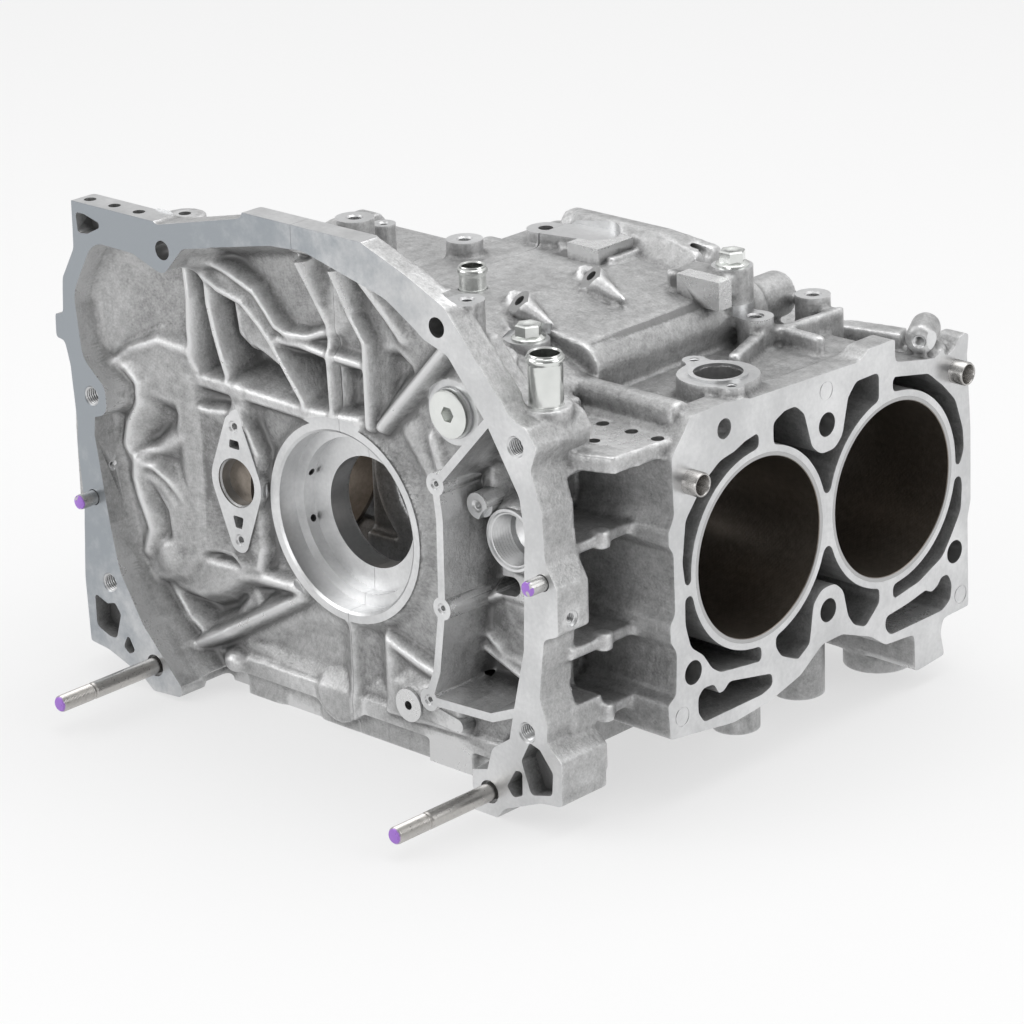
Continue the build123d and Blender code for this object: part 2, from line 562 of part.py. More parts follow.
# holes of the gearbox flange
clear_hole_d = 11.0
clear_hole_depth = 26.0
tapped_hole_d = 10.0
tapped_hole_depth = 22.0
flange_pocket_depth = 14.0
for x, z in flange_clear_holes:
    cuts.append(rod_y(x, z, clear_hole_d, -1, clear_hole_depth))
for x, z in flange_tapped_holes:
    cuts.append(rod_y(x, z, tapped_hole_d, -1, tapped_hole_depth))
for pocket in flange_pockets:
    cuts.append(along_y(face(pocket), -1, flange_pocket_depth))
for x, z in ((-stud_x, stud_left_z), (stud_x, stud_right_z)):
    cuts.append(rod_y(x, z, stud_thread_d + 2 * fit_gap, -1, stud_root))
    cuts.append(rod_y(x, z, stud_relief_d, -1, stud_relief_depth))
for x, z in ((-dowel_x, -dowel_z), (dowel_x, dowel_z)):
    cuts.append(rod_y(x, z, dowel_root_d + 2 * fit_gap, 0, dowel_root))
    cuts.append(rod_y(x, z, dowel_relief_d, -1, dowel_relief_depth))
pad_bore = 27.0
barrel_front_y = first_bore_y - bank_offset - bore / 2 - liner_wall
cuts.append(rod_y(pad_x, pad_z, pad_bore, pad_y - 1, barrel_front_y - 0.5))
plug_seat_y = seal_face_y + plug_head + plug_washer
plug_hole = plug_thread_d + 2 * fit_gap
cuts.append(rod_y(plug_x, plug_z, plug_hole, plug_seat_y - 3, plug_seat_y + plug_length + 4))
cuts.append(rod_y(*knock_boss, 8, 20, wall_y + 4))
cuts.append(rod_y(*bay_port, 28, 18, wall_y + 5))
cuts.append(rod_z(port_seat[0], port_seat[1], port_bore, 72, port_seat[2] + 1))
for x, y in top_bosses:
    cuts.append(rod_z(x, y, 8, top_boss_z - 18, top_boss_z + 1))
cuts.append(rod_z(front_boss[0], front_boss[1], 8, front_boss[2] - 16, front_boss[2] + 1))
cuts.append(rod_z(arm_hole[0], arm_hole[1], 8.5, 112, arm_z + 1))
cuts.append(rod_z(column[0], column[1], 7, 138, column[2] + 1))
cuts.append(rod_x(ridge_y, 122.5, 6.6, 78, 96))
for x, y, z in inclined_bosses:
    cuts.append(Pos(x, y, z) * Rot(0, 35, 0) * Pos(0, 0, -6) * Cylinder(3.3, 14))
for x, y, z, d in left_bosses:
    cuts.append(rod_z(x, y, d * 0.38, z - 16, z + 1))
cuts.append(rod_y(duct_x, duct_z, stub_d - 6, duct_end_y, stub_end_y + 1))
for x, y, z, d, root in ((*small_nipple_seat, small_nipple_d, nipple_root),
                         (*large_nipple_seat, large_nipple_d, nipple_root)):
    cuts.append(rod_z(x, y, d + nipple_press + 2 * fit_gap, z - root, z + 1))
for x, y, z in (rear_bolt_seat, front_bolt_seat):
    cuts.append(rod_z(x, y, flange_bolt_shank + 2 * fit_gap, z - flange_bolt_length - 2, z + 1))
    cuts.append(rod_z(x, y, flange_bolt_flange + 2, z, z + 20))
for x, y, z in (small_nipple_seat, large_nipple_seat):
    cuts.append(rod_z(x, y, large_nipple_d + 6, z, z + 20))

# bolts and pins between the halves
case_bolt_hole = case_bolt_d + 2 * fit_gap
for y in main_ys[1:4]:
    cuts.append(rod_x(y, case_bolt_upper_z, case_bolt_hole, -case_bolt_grip - 1, case_bolt_bite + 2))
    cuts.append(rod_x(y, case_bolt_upper_z, case_bolt_head_d + 1, -110, -case_bolt_grip))
pins = [(main_ys[0], -case_pin_z), (main_ys[-1], case_pin_z)]
for y, z in pins:
    cuts.append(rod_x(y, z, case_pin_d + 2 * fit_gap, -case_pin_length / 2, case_pin_length / 2))

casting = casting - cuts

far = 800
right_half = casting & (Pos(far / 2, 0, 0) * Box(far, far * 2, far * 2))
left_half = casting & (Pos(-far / 2, 0, 0) * Box(far, far * 2, far * 2))

nodes = {"case_half_right": right_half, "case_half_left": left_half}

# cast-in liners
for number, (side, y) in enumerate(cylinders, 1):
    outer = rod_x(y, 0, 2 * liner_r, deck_x - liner_length, deck_x)
    outer -= rod_x(y, 0, bore, deck_x - liner_length - 1, deck_x + 1)
    nodes[f"cylinder_liner_{number}"] = outer if side > 0 else mirror(outer, Plane.YZ)


def stud(x, z):
    """A gearbox stud: plain shank, then a thread with a chamfered tip."""
    shank = rod_y(x, z, stud_d, -stud_proud + stud_thread, 0)
    shank += rod_y(x, z, stud_thread_d, 0, stud_root)
    thread = rod_y(x, z, stud_thread_d, -stud_proud, -stud_proud + stud_thread)
    tip = thread.faces().sort_by(Axis.Y)[0]
    thread = chamfer(tip.edges(), 1.2)
    return shank + thread


def solid_dowel(x, z):
    pin = rod_y(x, z, dowel_d, -dowel_proud, 0)
    pin = chamfer(pin.faces().sort_by(Axis.Y)[0].edges(), 1.3)
    return pin + rod_y(x, z, dowel_root_d, 0, dowel_root)


nodes["stud_lower_left"] = stud(-stud_x, stud_left_z)
nodes["stud_lower_right"] = stud(stud_x, stud_right_z)
nodes["gearbox_dowel_left"] = solid_dowel(-dowel_x, -dowel_z)
nodes["gearbox_dowel_right"] = solid_dowel(dowel_x, dowel_z)


def sleeve(side, y, z):
    """A hollow dowel that centres the cylinder head round its bolt."""
    outer = head_bolt_mouth - 2 * fit_gap
    tube = rod_x(y, z, outer, deck_x - sleeve_length + sleeve_proud, deck_x + sleeve_proud)
    tube -= rod_x(y, z, head_bolt_drill, deck_x - sleeve_length, deck_x + sleeve_length)
    return tube if side > 0 else mirror(tube, Plane.YZ)


for side, mid_y, word in ((1, right_mid_y, "right"), (-1, left_mid_y, "left")):
    for number, (y, z) in enumerate(sleeve_places(side, mid_y), 1):
        nodes[f"head_dowel_{word}_{number}"] = sleeve(side, y, z)


def nipple(seat, d, rise):
    """A pressed-in hose nipple with a rolled bead at its mouth."""
    x, y, z = seat
    r = d / 2
    root_r = r + nipple_press / 2
    bead_r = r + nipple_bead
    top = rise - 1.5
    profile = [(r - nipple_wall, -nipple_root), (root_r, -nipple_root), (root_r, 0), (r, 0),
               (r, top - nipple_land - 1), (bead_r, top - nipple_land), (bead_r, top), (r, rise),
               (r - nipple_wall, rise)]
    return Pos(x, y, z) * revolve(Plane.XZ * make_face(Polyline(*profile, close=True)), Axis.Z)


nodes["hose_nipple_small"] = nipple(small_nipple_seat, small_nipple_d, small_nipple_rise)
nodes["hose_nipple_large"] = nipple(large_nipple_seat, large_nipple_d, large_nipple_rise)


def flange_bolt(across, head, flange_d, shank_d, length):
    """A hexagon bolt with a round flange, its seat at Z = 0 and its shank below."""
    skirt = 1.8
    body = rod_z(0, 0, flange_d, 0, skirt)
    hexagon = along_z(RegularPolygon(across / 2, 6, major_radius=False), skirt, head)
    body += hexagon
    return body + rod_z(0, 0, shank_d, -length, 0)


for word, seat in (("rear", rear_bolt_seat), ("front", front_bolt_seat)):
    nodes[f"flange_bolt_{word}"] = Pos(*seat) * flange_bolt(
        flange_bolt_across, flange_bolt_head, flange_bolt_flange, flange_bolt_shank, flange_bolt_length)

# service plug with its washer
plug = rod_y(plug_x, plug_z, plug_head_d, seal_face_y, seal_face_y + plug_head)
plug = chamfer(plug.faces().sort_by(Axis.Y)[0].edges(), 0.6)
plug += rod_y(plug_x, plug_z, plug_thread_d, seal_face_y + plug_head, plug_seat_y + plug_length)
socket = Pos(plug_x, plug_z) * RegularPolygon(plug_socket / 2, 6, major_radius=False)
plug -= along_y(socket, seal_face_y - 1, seal_face_y + plug_head + 4)
nodes["service_plug"] = plug
washer = rod_y(plug_x, plug_z, plug_head_d + 1.5, seal_face_y + plug_head, plug_seat_y)
washer -= rod_y(plug_x, plug_z, plug_thread_d + 1, seal_face_y, plug_seat_y + 1)
nodes["service_plug_washer"] = washer

# case bolts, put in from the left; the threads bite in the right half
template = Rot(0, -90, 0) * flange_bolt(
    case_bolt_across, case_bolt_head, case_bolt_head_d, case_bolt_d, case_bolt_grip + case_bolt_bite)
for number, y in enumerate(main_ys[1:4], 1):
    nodes[f"case_bolt_upper_{number}"] = Pos(-case_bolt_grip, y, case_bolt_upper_z) * template

pin_end = case_pin_length / 2 - 0.5
for number, (y, z) in enumerate(pins, 1):
    nodes[f"case_pin_{number}"] = rod_x(y, z, case_pin_d, -pin_end, pin_end)

to_datum = Pos(0, -seal_face_y, 0)
os.makedirs("parts", exist_ok=True)
for name, shape in nodes.items():
    placed_shape = to_datum * shape
    solids = placed_shape.solids()
    export_step(Compound(children=list(solids)) if len(solids) > 1 else solids[0], f"parts/{name}.step")
    print(name, len(solids), round(placed_shape.volume / 1000, 1))
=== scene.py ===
from math import cos, pi, radians, sin
import bmesh
import bpy
import numpy as np
from mathutils import Matrix, Vector


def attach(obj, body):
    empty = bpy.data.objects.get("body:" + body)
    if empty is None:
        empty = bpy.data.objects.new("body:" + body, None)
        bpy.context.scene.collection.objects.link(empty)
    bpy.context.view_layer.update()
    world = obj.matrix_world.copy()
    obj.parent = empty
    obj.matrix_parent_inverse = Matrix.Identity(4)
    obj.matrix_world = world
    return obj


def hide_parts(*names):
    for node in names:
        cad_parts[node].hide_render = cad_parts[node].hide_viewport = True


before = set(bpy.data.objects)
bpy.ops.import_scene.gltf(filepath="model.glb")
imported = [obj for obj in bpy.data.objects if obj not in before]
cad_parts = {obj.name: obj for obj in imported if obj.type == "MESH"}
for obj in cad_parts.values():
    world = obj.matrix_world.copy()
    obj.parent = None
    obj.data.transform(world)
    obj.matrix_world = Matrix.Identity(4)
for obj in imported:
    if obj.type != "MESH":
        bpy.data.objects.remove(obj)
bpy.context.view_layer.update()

scene = bpy.context.scene
scene.view_settings.view_transform = "Standard"

# Camera: a long lens above the gearbox corner, fitted to the photograph's view.
camera_data = bpy.data.cameras.new("camera")
camera_data.sensor_width = 36.0
camera_data.lens = 149.76
camera = bpy.data.objects.new("camera", camera_data)
scene.collection.objects.link(camera)
camera_right = Vector((0.72961712, 0.68308318, -0.03249972))
camera_up = Vector((-0.21808859, 0.27746214, 0.93565599))
camera_back = Vector((0.6481483, -0.67558281, 0.35141378))
turn = Matrix((camera_right, camera_up, camera_back)).transposed().to_4x4()
camera.matrix_world = Matrix.Translation((1.56459, -1.49878, 0.81561)) @ turn
scene.camera = camera


# Floor and light: a white table that runs on to the horizon and keeps the shadow, a soft sky that is
# brightest overhead, a wide lamp over the top, one at each side and one in front of the gearbox face.
class Wire:
    """A node's output. Sums and products of wires add Math nodes to the same material."""

    def __init__(self, tree, socket):
        self.tree = tree
        self.socket = socket

    def maths(self, operation, *values):
        return add_node(self.tree, "ShaderNodeMath", {"operation": operation}, dict(enumerate((self, *values))))

    def __add__(self, other):
        return self.maths("ADD", other)

    __radd__ = __add__

    def __mul__(self, other):
        return self.maths("MULTIPLY", other)

    __rmul__ = __mul__

    def __sub__(self, other):
        return self.maths("SUBTRACT", other)

    def __rsub__(self, other):
        return self * -1 + other

    def ramp(self, low, high):
        """0 below the low value and 1 above the high one, smooth in between."""
        return add_node(self.tree, "ShaderNodeMapRange", {"interpolation_type": "SMOOTHSTEP"},
                        {"Value": self, "From Min": low, "From Max": high})

    def mixed(self, low, high):
        """The low colour where this wire is 0 and the high colour where it is 1."""
        return add_node(self.tree, "ShaderNodeMix", {"data_type": "RGBA"}, {0: self, 6: low, 7: high}, 2)

    def part(self, axis):
        return add_node(self.tree, "ShaderNodeSeparateXYZ", {}, {"Vector": self}, axis)


def add_node(tree, kind, settings, inputs, output=0):
    """One node with its settings and the values or wires of its sockets; returns the wire of an output."""
    node = tree.nodes.new(kind)
    for name, value in settings.items():
        setattr(node, name, value)
    for key, value in inputs.items():
        socket = node.inputs[key]
        if isinstance(value, Wire):
            tree.links.new(value.socket, socket)
        else:
            socket.default_value = value
    return Wire(tree, node.outputs[output]) if len(node.outputs) else None


def new_material(name):
    """An empty material, its node tree and the wire of the object's own coordinates."""
    material = bpy.data.materials.new(name)
    material.use_nodes = True
    tree = material.node_tree
    tree.nodes.clear()
    return material, tree, add_node(tree, "ShaderNodeTexCoord", {}, {}, "Object")


def noise(where, scale, detail=3.0, roughness=0.5):
    settings = {"Vector": where, "Scale": scale, "Detail": detail, "Roughness": roughness}
    return add_node(where.tree, "ShaderNodeTexNoise", {}, settings)


def close_material(tree, inputs):
    """The Principled shader of a material and its output."""
    shader = add_node(tree, "ShaderNodeBsdfPrincipled", {}, inputs)
    add_node(tree, "ShaderNodeOutputMaterial", {}, {"Surface": shader})


def bumped(height, distance, strength=1.0):
    return add_node(height.tree, "ShaderNodeBump", {}, {"Height": height, "Distance": distance, "Strength": strength})


def grey(level, blue=0.0):
    return (level * (1 - blue), level, level * (1 + blue), 1)


floor_z = -0.126
floor_mesh = bpy.data.meshes.new("floor")
reach = 9.0
floor_mesh.from_pydata([(-reach, -reach, floor_z), (reach, -reach, floor_z), (reach, reach, floor_z),
                        (-reach, reach, floor_z)], [], [(0, 1, 2, 3)])
floor = bpy.data.objects.new("floor", floor_mesh)
scene.collection.objects.link(floor)
floor_material, tree, where = new_material("white_table")
ray_kinds = ("Is Camera Ray", "Is Glossy Ray", "Is Transmission Ray")
seen = [add_node(tree, "ShaderNodeLightPath", {}, {}, kind) for kind in ray_kinds]
seen = seen[0].maths("MAXIMUM", seen[1]).maths("MAXIMUM", seen[2])
lit = add_node(tree, "ShaderNodeBsdfDiffuse", {}, {"Color": grey(0.8)})
glow = add_node(tree, "ShaderNodeEmission", {}, {"Color": grey(1.0), "Strength": 1.0})
table = add_node(tree, "ShaderNodeMixShader", {}, {0: seen * 0.62, 1: lit, 2: glow})
add_node(tree, "ShaderNodeOutputMaterial", {}, {"Surface": table})
floor_mesh.materials.append(floor_material)

world = bpy.data.worlds.new("studio")
scene.world = world
world.use_nodes = True
tree = world.node_tree
tree.nodes.clear()
direction = add_node(tree, "ShaderNodeTexCoord", {}, {}, "Generated")
seen = [add_node(tree, "ShaderNodeLightPath", {}, {}, kind) for kind in (ray_kinds[0], ray_kinds[2])]
seen = seen[0].maths("MAXIMUM", seen[1])
overhead = direction.part(2).ramp(-0.1, 0.8)
towards = (direction.part(0) * 0.69 - direction.part(1) * 0.72).ramp(-0.2, 0.9)
sky_level = (overhead * 0.62 + 0.38) * (1 - towards * 0.66)
sky = add_node(tree, "ShaderNodeBackground", {}, {"Color": grey(1.0), "Strength": seen + (1 - seen) * sky_level})
add_node(tree, "ShaderNodeOutputWorld", {}, {"Surface": sky})


def lamp(name, place, target, size, power):
    data = bpy.data.lights.new(name, "AREA")
    data.shape = "RECTANGLE"
    data.size, data.size_y = size
    data.energy = power
    made = bpy.data.objects.new(name, data)
    scene.collection.objects.link(made)
    made.location = place
    made.rotation_euler = (Vector(target) - Vector(place)).to_track_quat("-Z", "Y").to_euler()


lamp("lamp_top", (0.1, 0.5, 1.7), (0, 0.1, 0), (1.6, 1.6), 12)
lamp("lamp_left", (-1.3, -1.5, 1.0), (0, 0.0, 0), (1.5, 1.5), 14)
lamp("lamp_front", (0.5, -1.9, 0.4), (-0.1, 0, 0.05), (1.4, 0.7), 6.5)
lamp("lamp_right", (1.9, 0.7, 0.9), (0.1, 0.1, 0), (1.3, 1.3), 9)


# Case halves: pressure-cast aluminium with rounded ribs and hollows. The decks, the gearbox face, the joint
# face, the pan rail, the bores and the seats of bolts and pipes are milled or drilled afterwards, so those
# are flat with sharp edges. Bolts along the crankshaft plane hold the halves together.
seal_face = 28.5
crest = 175.79
port_seat = 92.6
skin = 3.0
inward, upward, downward = (0, 1, 0), (0, 0, 1), (0, 0, -1)
voxel = 0.0015
most_triangles = 196000


def at(x, y, z):
    """A point counted in millimetres from the crankshaft axis and the gearbox face."""
    return Vector((x, y - seal_face, z)) / 1000


def mesh_object(name, mesh):
    made = bpy.data.objects.new(name, mesh)
    scene.collection.objects.link(made)
    return made


def lathe(base, axis, profile, segments=40, ring=False):
    """A turned solid: radius and distance along the axis from the base, in millimetres. A ring has a hole."""
    if ring:
        profile = [*profile, profile[0]]
    upright = Vector((0, 0, 1)).rotation_difference(Vector(axis).normalized()).to_matrix()
    angles = [2 * pi * i / segments for i in range(segments)]
    points = [base + upright @ Vector((r * cos(a), r * sin(a), t)) / 1000 for r, t in profile for a in angles]
    faces = [(k + i, k + (i + 1) % segments, k + segments + (i + 1) % segments, k + segments + i)
             for k in range(0, len(points) - segments, segments) for i in range(segments)]
    if ring:
        start = len(points) - segments
        return points[:start], [tuple(k - start if k >= start else k for k in face) for face in faces]
    faces.append(tuple(reversed(range(segments))))
    faces.append(tuple(range(len(points) - segments, len(points))))
    return points, faces


def rod(base, axis, d, length, segments=40):
    return lathe(base, axis, [(d / 2, 0), (d / 2, length)], segments)


def tapped(base, axis, d, length, pitch=1.5, segments=28):
    """The shape of a threaded hole: a countersunk mouth, and grooves along the hole."""
    profile = [(d / 2 + 0.7, -3), (d / 2 + 0.7, 0), (d / 2 - 0.1, 0.9)]
    for groove in range(int((length - 2) / pitch)):
        profile += [(d / 2 - 0.9, 1.1 + groove * pitch), (d / 2, 1.1 + (groove + 0.5) * pitch)]
    profile += [(d / 2 - 0.9, length), (0.3, length + d / 4)]
    return lathe(base, axis, profile, segments)


def prism(outline, axis, low, high, far=None):
    """A solid over an outline, which may change to another one at the far end of the axis."""
    def place(u, v, w):
        return at(*((w, u, v) if axis == 0 else (u, w, v) if axis == 1 else (u, v, w)))
    n = len(outline)
    points = [place(u, v, low) for u, v in outline] + [place(u, v, high) for u, v in far or outline]
    faces = [(i, (i + 1) % n, n + (i + 1) % n, n + i) for i in range(n)]
    return points, faces + [tuple(range(n)), tuple(range(n, 2 * n))]


def block(low, high):
    outline = [(low[0], low[1]), (high[0], low[1]), (high[0], high[1]), (low[0], high[1])]
    return prism(outline, 2, low[2], high[2])


def hull(circles, grow=0.0, steps=72):
    """The tight outline round circles given as (u, v, radius)."""
    outline = []
    for i in range(steps):
        u, v = cos(2 * pi * i / steps), sin(2 * pi * i / steps)
        a, b, r = max(circles, key=lambda c: c[0] * u + c[1] * v + c[2])
        outline.append((a + (r + grow) * u, b + (r + grow) * v))
    return outline


def solid_mesh(name, shapes, material=None):
    """One mesh of several closed shapes, all facing outwards."""
    points, faces = [], []
    for shape_points, shape_faces in shapes:
        start = len(points)
        points += [tuple(p) for p in shape_points]
        faces += [tuple(start + i for i in f) for f in shape_faces]
    mesh = bpy.data.meshes.new(name)
    mesh.from_pydata(points, [], faces)
    work = bmesh.new()
    work.from_mesh(mesh)
    bmesh.ops.recalc_face_normals(work, faces=work.faces)
    work.to_mesh(mesh)
    work.free()
    if material:
        mesh.materials.append(material)
    return mesh


def evaluated(obj):
    """The object's mesh with its modifiers applied; the modifiers go."""
    depsgraph = bpy.context.evaluated_depsgraph_get()
    result = bpy.data.meshes.new_from_object(obj.evaluated_get(depsgraph), preserve_all_data_layers=True,
                                             depsgraph=depsgraph)
    obj.modifiers.clear()
    obj.data = result
    return result


def combined(target, mesh, operation):
    """The target joined with or cut by a mesh, which brings its own material."""
    other = mesh_object("tool", mesh)
    step = target.modifiers.new("step", "BOOLEAN")
    step.operation = operation
    step.solver = "MANIFOLD"
    step.material_mode = "TRANSFER"
    step.object = other
    evaluated(target)
    bpy.data.objects.remove(other)


# The wall behind the gearbox face is one relief of ribs and hollows, worked out over a grid of X and Z:
# at each point it holds how deep the wall lies behind the face. Ribs and pads pull it forward, hollows
# push it back, and every meeting is rounded as in a casting.
def lower(a, b, blend):
    """The lesser of two surfaces, rounded where they meet."""
    h = np.clip(0.5 + 0.5 * (b - a) / blend, 0, 1)
    return b + (a - b) * h - blend * h * (1 - h)


def upper(a, b, blend):
    return -lower(-a, -b, blend)


def run_distance(u, v, points):
    """Distance from grid points to a run of lines, and the third value of the run at the nearest point."""
    best, level = np.full(u.shape, 1e9), np.zeros(u.shape)
    for a, b in zip(points, points[1:]):
        du, dv = b[0] - a[0], b[1] - a[1]
        t = np.clip(((u - a[0]) * du + (v - a[1]) * dv) / (du * du + dv * dv + 1e-9), 0, 1)
        d = np.hypot(u - a[0] - t * du, v - a[1] - t * dv)
        level = np.where(d < best, a[-1] + t * (b[-1] - a[-1]), level)
        best = np.minimum(best, d)
    return best, level


def inside(u, v, outline):
    """Distance to a closed outline, positive inside it."""
    closed = [(a, b, 0) for a, b in list(outline) + [outline[0]]]
    d = run_distance(u, v, closed)[0]
    odd = np.zeros(u.shape, bool)
    for (a, b, _), (c, e, _) in zip(closed, closed[1:]):
        if b != e:
            odd ^= ((b > v) != (e > v)) & (u < (c - a) * (v - b) / (e - b) + a)
    return np.where(odd, d, -d)


def rounded(corners, steps=6):
    """An outline whose corners have radii, as (u, v, radius)."""
    outline = []
    n = len(corners)
    for i, (u, v, r) in enumerate(corners):
        here = Vector((u, v))
        a = (Vector(corners[i - 1][:2]) - here)
        b = (Vector(corners[(i + 1) % n][:2]) - here)
        if not r:
            outline.append((u, v))
            continue
        half = a.angle(b) / 2
        cut = min(r / np.tan(half), 0.48 * min(a.length, b.length))
        a.normalize()
        b.normalize()
        centre = here + (a + b).normalized() * cut / cos(half)
        start, end = here + a * cut - centre, here + b * cut - centre
        for k in range(steps + 1):
            arm = start.lerp(end, k / steps)
            outline.append(tuple(centre + arm.normalized() * start.length))
    return outline


def inset(outline, distance):
    """The outline moved inwards a little."""
    spots = [Vector(spot) for spot in outline]
    n = len(spots)
    area = sum(a.x * b.y - b.x * a.y for a, b in zip(spots, spots[1:] + spots[:1]))
    moved = []
    for i, spot in enumerate(spots):
        along = (spots[(i + 1) % n] - spots[i - 1]).normalized() * (1 if area > 0 else -1)
        moved.append((spot.x - along.y * distance, spot.y + along.x * distance))
    return moved


class Relief:
    """Depths over a grid of two coordinates, in millimetres."""

    def __init__(self, u_range, v_range, step, level):
        self.us = np.arange(u_range[0], u_range[1] + step / 2, step)
        self.vs = np.arange(v_range[0], v_range[1] + step / 2, step)
        self.u, self.v = np.meshgrid(self.us, self.vs, indexing="ij")
        self.h = np.full(self.u.shape, float(level))

    def rib(self, points, half, slope=3.0, blend=5.0, top=1.6):
        """A rounded rib along points given as (u, v, level of its top)."""
        d, level = run_distance(self.u, self.v, points)
        side = (d - half) * slope
        self.h = lower(self.h, level + upper(side, 0 * side, top * slope), blend)

    def mound(self, outline, level, slope=2.0, blend=5.0, top=1.6):
        """A raised flat with sloping sides."""
        side = -inside(self.u, self.v, outline) * slope
        self.h = lower(self.h, level + upper(side, 0 * side, top * slope), blend)

    def cone(self, u, v, r, level, slope=2.0, blend=4.0, top=1.2):
        side = (np.hypot(self.u - u, self.v - v) - r) * slope
        self.h = lower(self.h, level + upper(side, 0 * side, top * slope), blend)

    def hollow(self, outline, rim, floor, slope=3.0, blend=4.0):
        """A hollow with a flat floor whose sides start from the rim's level at the outline."""
        side = rim + inside(self.u, self.v, outline) * slope
        self.h = upper(self.h, lower(side, floor + 0 * side, 5.0), blend)

    def ball(self, u, v, w, radii, blend=5.0):
        """A bulge: the near side of an egg with its centre at depth w."""
        left = 1 - ((self.u - u) / radii[0]) ** 2 - ((self.v - v) / radii[1]) ** 2
        near = np.where(left > 0, w - radii[2] * np.sqrt(np.maximum(left, 0)), 200.0)
        self.h = lower(self.h, near, blend)

    def shape(self, place, front):
        """The closed solid between the relief and a flat at the given level."""
        nu, nv = self.h.shape
        points = [place(u, v, w) for u, v, w in zip(self.u.ravel(), self.v.ravel(), self.h.ravel())]
        index = np.arange(nu * nv).reshape(nu, nv)
        faces = np.stack((index[:-1, :-1], index[1:, :-1], index[1:, 1:], index[:-1, 1:]), -1).reshape(-1, 4).tolist()
        rim = [*index[:, 0], *index[-1, 1:], *index[-2::-1, -1], *index[0, -2:0:-1]]
        start = len(points)
        points += [place(self.u.flat[i], self.v.flat[i], front) for i in rim]
        n = len(rim)
        faces += [(int(rim[i]), int(rim[(i + 1) % n]), start + (i + 1) % n, start + i) for i in range(n)]
        faces.append(tuple(range(start, start + n)))
        return points, faces


bell_opening = [
    (-179, 104, 22), (-160, 137.5, 16), (-127, 137, 14), (-102.5, 129, 7), (-86, 147, 9), (-16, 161.3, 20),
    (8, 163, 20), (68.5, 148.5, 30), (96, 132, 0), (112, 127, 10), (138.2, 95.6, 20), (160, 60, 14),
    (162.8, 40, 20), (159.5, -25, 20), (150.5, -62, 0), (147, -78, 0), (134, -87, 8), (130, -100, 0),
    (119, -103, 0), (117, -140, 0), (-109, -140, 0), (-109.5, -117, 0), (-139, -86, 30), (-156, -57, 30),
    (-161.5, -30, 30), (-169.5, 22, 0), (-168, 33, 0), (-157.5, 37, 8), (-158, 52, 8), (-175, 66, 16),
]
wall_depth = 34.0
bell = Relief((-184, 166), (-141, 166), 1.1, wall_depth)
u, v = bell.u, bell.v
# the bowl upper left slopes back from the flange, and the barrel bulges below its lip
bell.h = np.clip(15 + (u + 177) * 0.3, 12, wall_depth)
barrel = 16 + np.clip(u + 170, -30, 60) * 0.15
bell.mound([(-200, 52), (-178, 56), (-167, 62), (-155, 71), (-135, 79), (-112, 76), (-112, -44), (-126, -60),
            (-150, -66), (-165, -75), (-200, -75)], barrel, 1.1, 3, 2)
bell.rib([(-178, 56, 15), (-167, 62, 16), (-155, 71, 18), (-135, 79, 20), (-113, 76, 24)], 1.0, 1.4, 4, 1)
bell.hollow([(-164, 52), (-152, 51), (-152, 41), (-161, 28), (-164, 14), (-170, 20), (-172, 40)], 17, 22, 0.8, 5)
bell.hollow([(-144, 46), (-124, 46), (-120, 37), (-123, 24), (-142, 11), (-155, 10), (-155, 21), (-148, 35)],
            18, 31, 1.3, 4)
bell.rib([(-167, 62, 15), (-157, 59, 15), (-148, 53, 14), (-148, 41, 14), (-157, 27, 14), (-160.5, 14, 14),
          (-155, 6, 15)], 1.4, 1.7, 5, 2)
bell.rib([(-152, 8, 15), (-141, 10, 17), (-132, 14, 19), (-125, 20, 21), (-119, 27, 24)], 1.2, 1.8, 4, 2)
bell.hollow([(-154, -5), (-144, -9), (-134, -22), (-132, -42), (-145, -43), (-150, -36), (-153, -19)], 19, 32, 1.5, 4)
bell.hollow([(-146, 8), (-122, 22), (-120, -8), (-134, 0)], 22, 28, 1.0, 4)
bell.rib([(-153, 6, 14), (-155, -4, 14), (-152, -15, 14), (-148, -27, 15), (-146, -35, 16), (-151, -49, 16)],
         1.6, 1.6, 4, 2)
bell.rib([(-151, 4, 16), (-142, 3, 17), (-133, -3, 19), (-125, -12, 22), (-121, -17, 24)], 1.0, 2.0, 3, 1.5)
bell.rib([(-151, -3, 18), (-139, -6, 20), (-130, -18, 22), (-127, -32, 25)], 1.2, 1.6, 3, 2)
bell.ball(-137, -50, 38, (13, 15, 19), 7)
# the plate that carries the diamond pad
bell.mound([(-120, 45), (-120.5, -38), (-114, -44), (-100, -40), (-88, -40), (-80, -46), (-66, -44), (-62, -30),
            (-62, 26), (-76, 52), (-82, 48), (-102, 45)], 25, 3.5, 3, 1)
bell.rib([(-78, 40, 24), (-77, 60, 26)], 5, 2.0, 5)
# ribs and hollows over the pad
bell.hollow([(-112, 124), (-101, 124), (-101, 108), (-97, 88), (-90, 68), (-96, 62), (-106, 63), (-110, 70),
             (-111, 89), (-112, 106)], 26, 52, 5.0, 3)
bell.hollow([(-94, 120), (-80, 113), (-79, 96), (-72, 88), (-60, 84), (-46, 78), (-37, 66), (-46, 64), (-82, 66),
             (-87, 68), (-90, 84), (-95, 100)], 27, 50, 3.2, 4)
bell.mound([(-79, 112), (-68, 106), (-58, 98), (-48, 84), (-60, 85), (-72, 88), (-79, 96)], 38, 1.5, 4)
bell.hollow([(-45, 92), (-11, 93), (-8, 88), (-9, 62), (-21, 61), (-28, 66)], 27, 50, 4.0, 3)
bell.hollow([(0, 89), (18, 91), (18, 64), (1, 62)], 28, 50, 4.0, 3)
bell.mound([(2, 78), (16, 88), (18, 70), (4, 62)], 40, 1.2, 4)
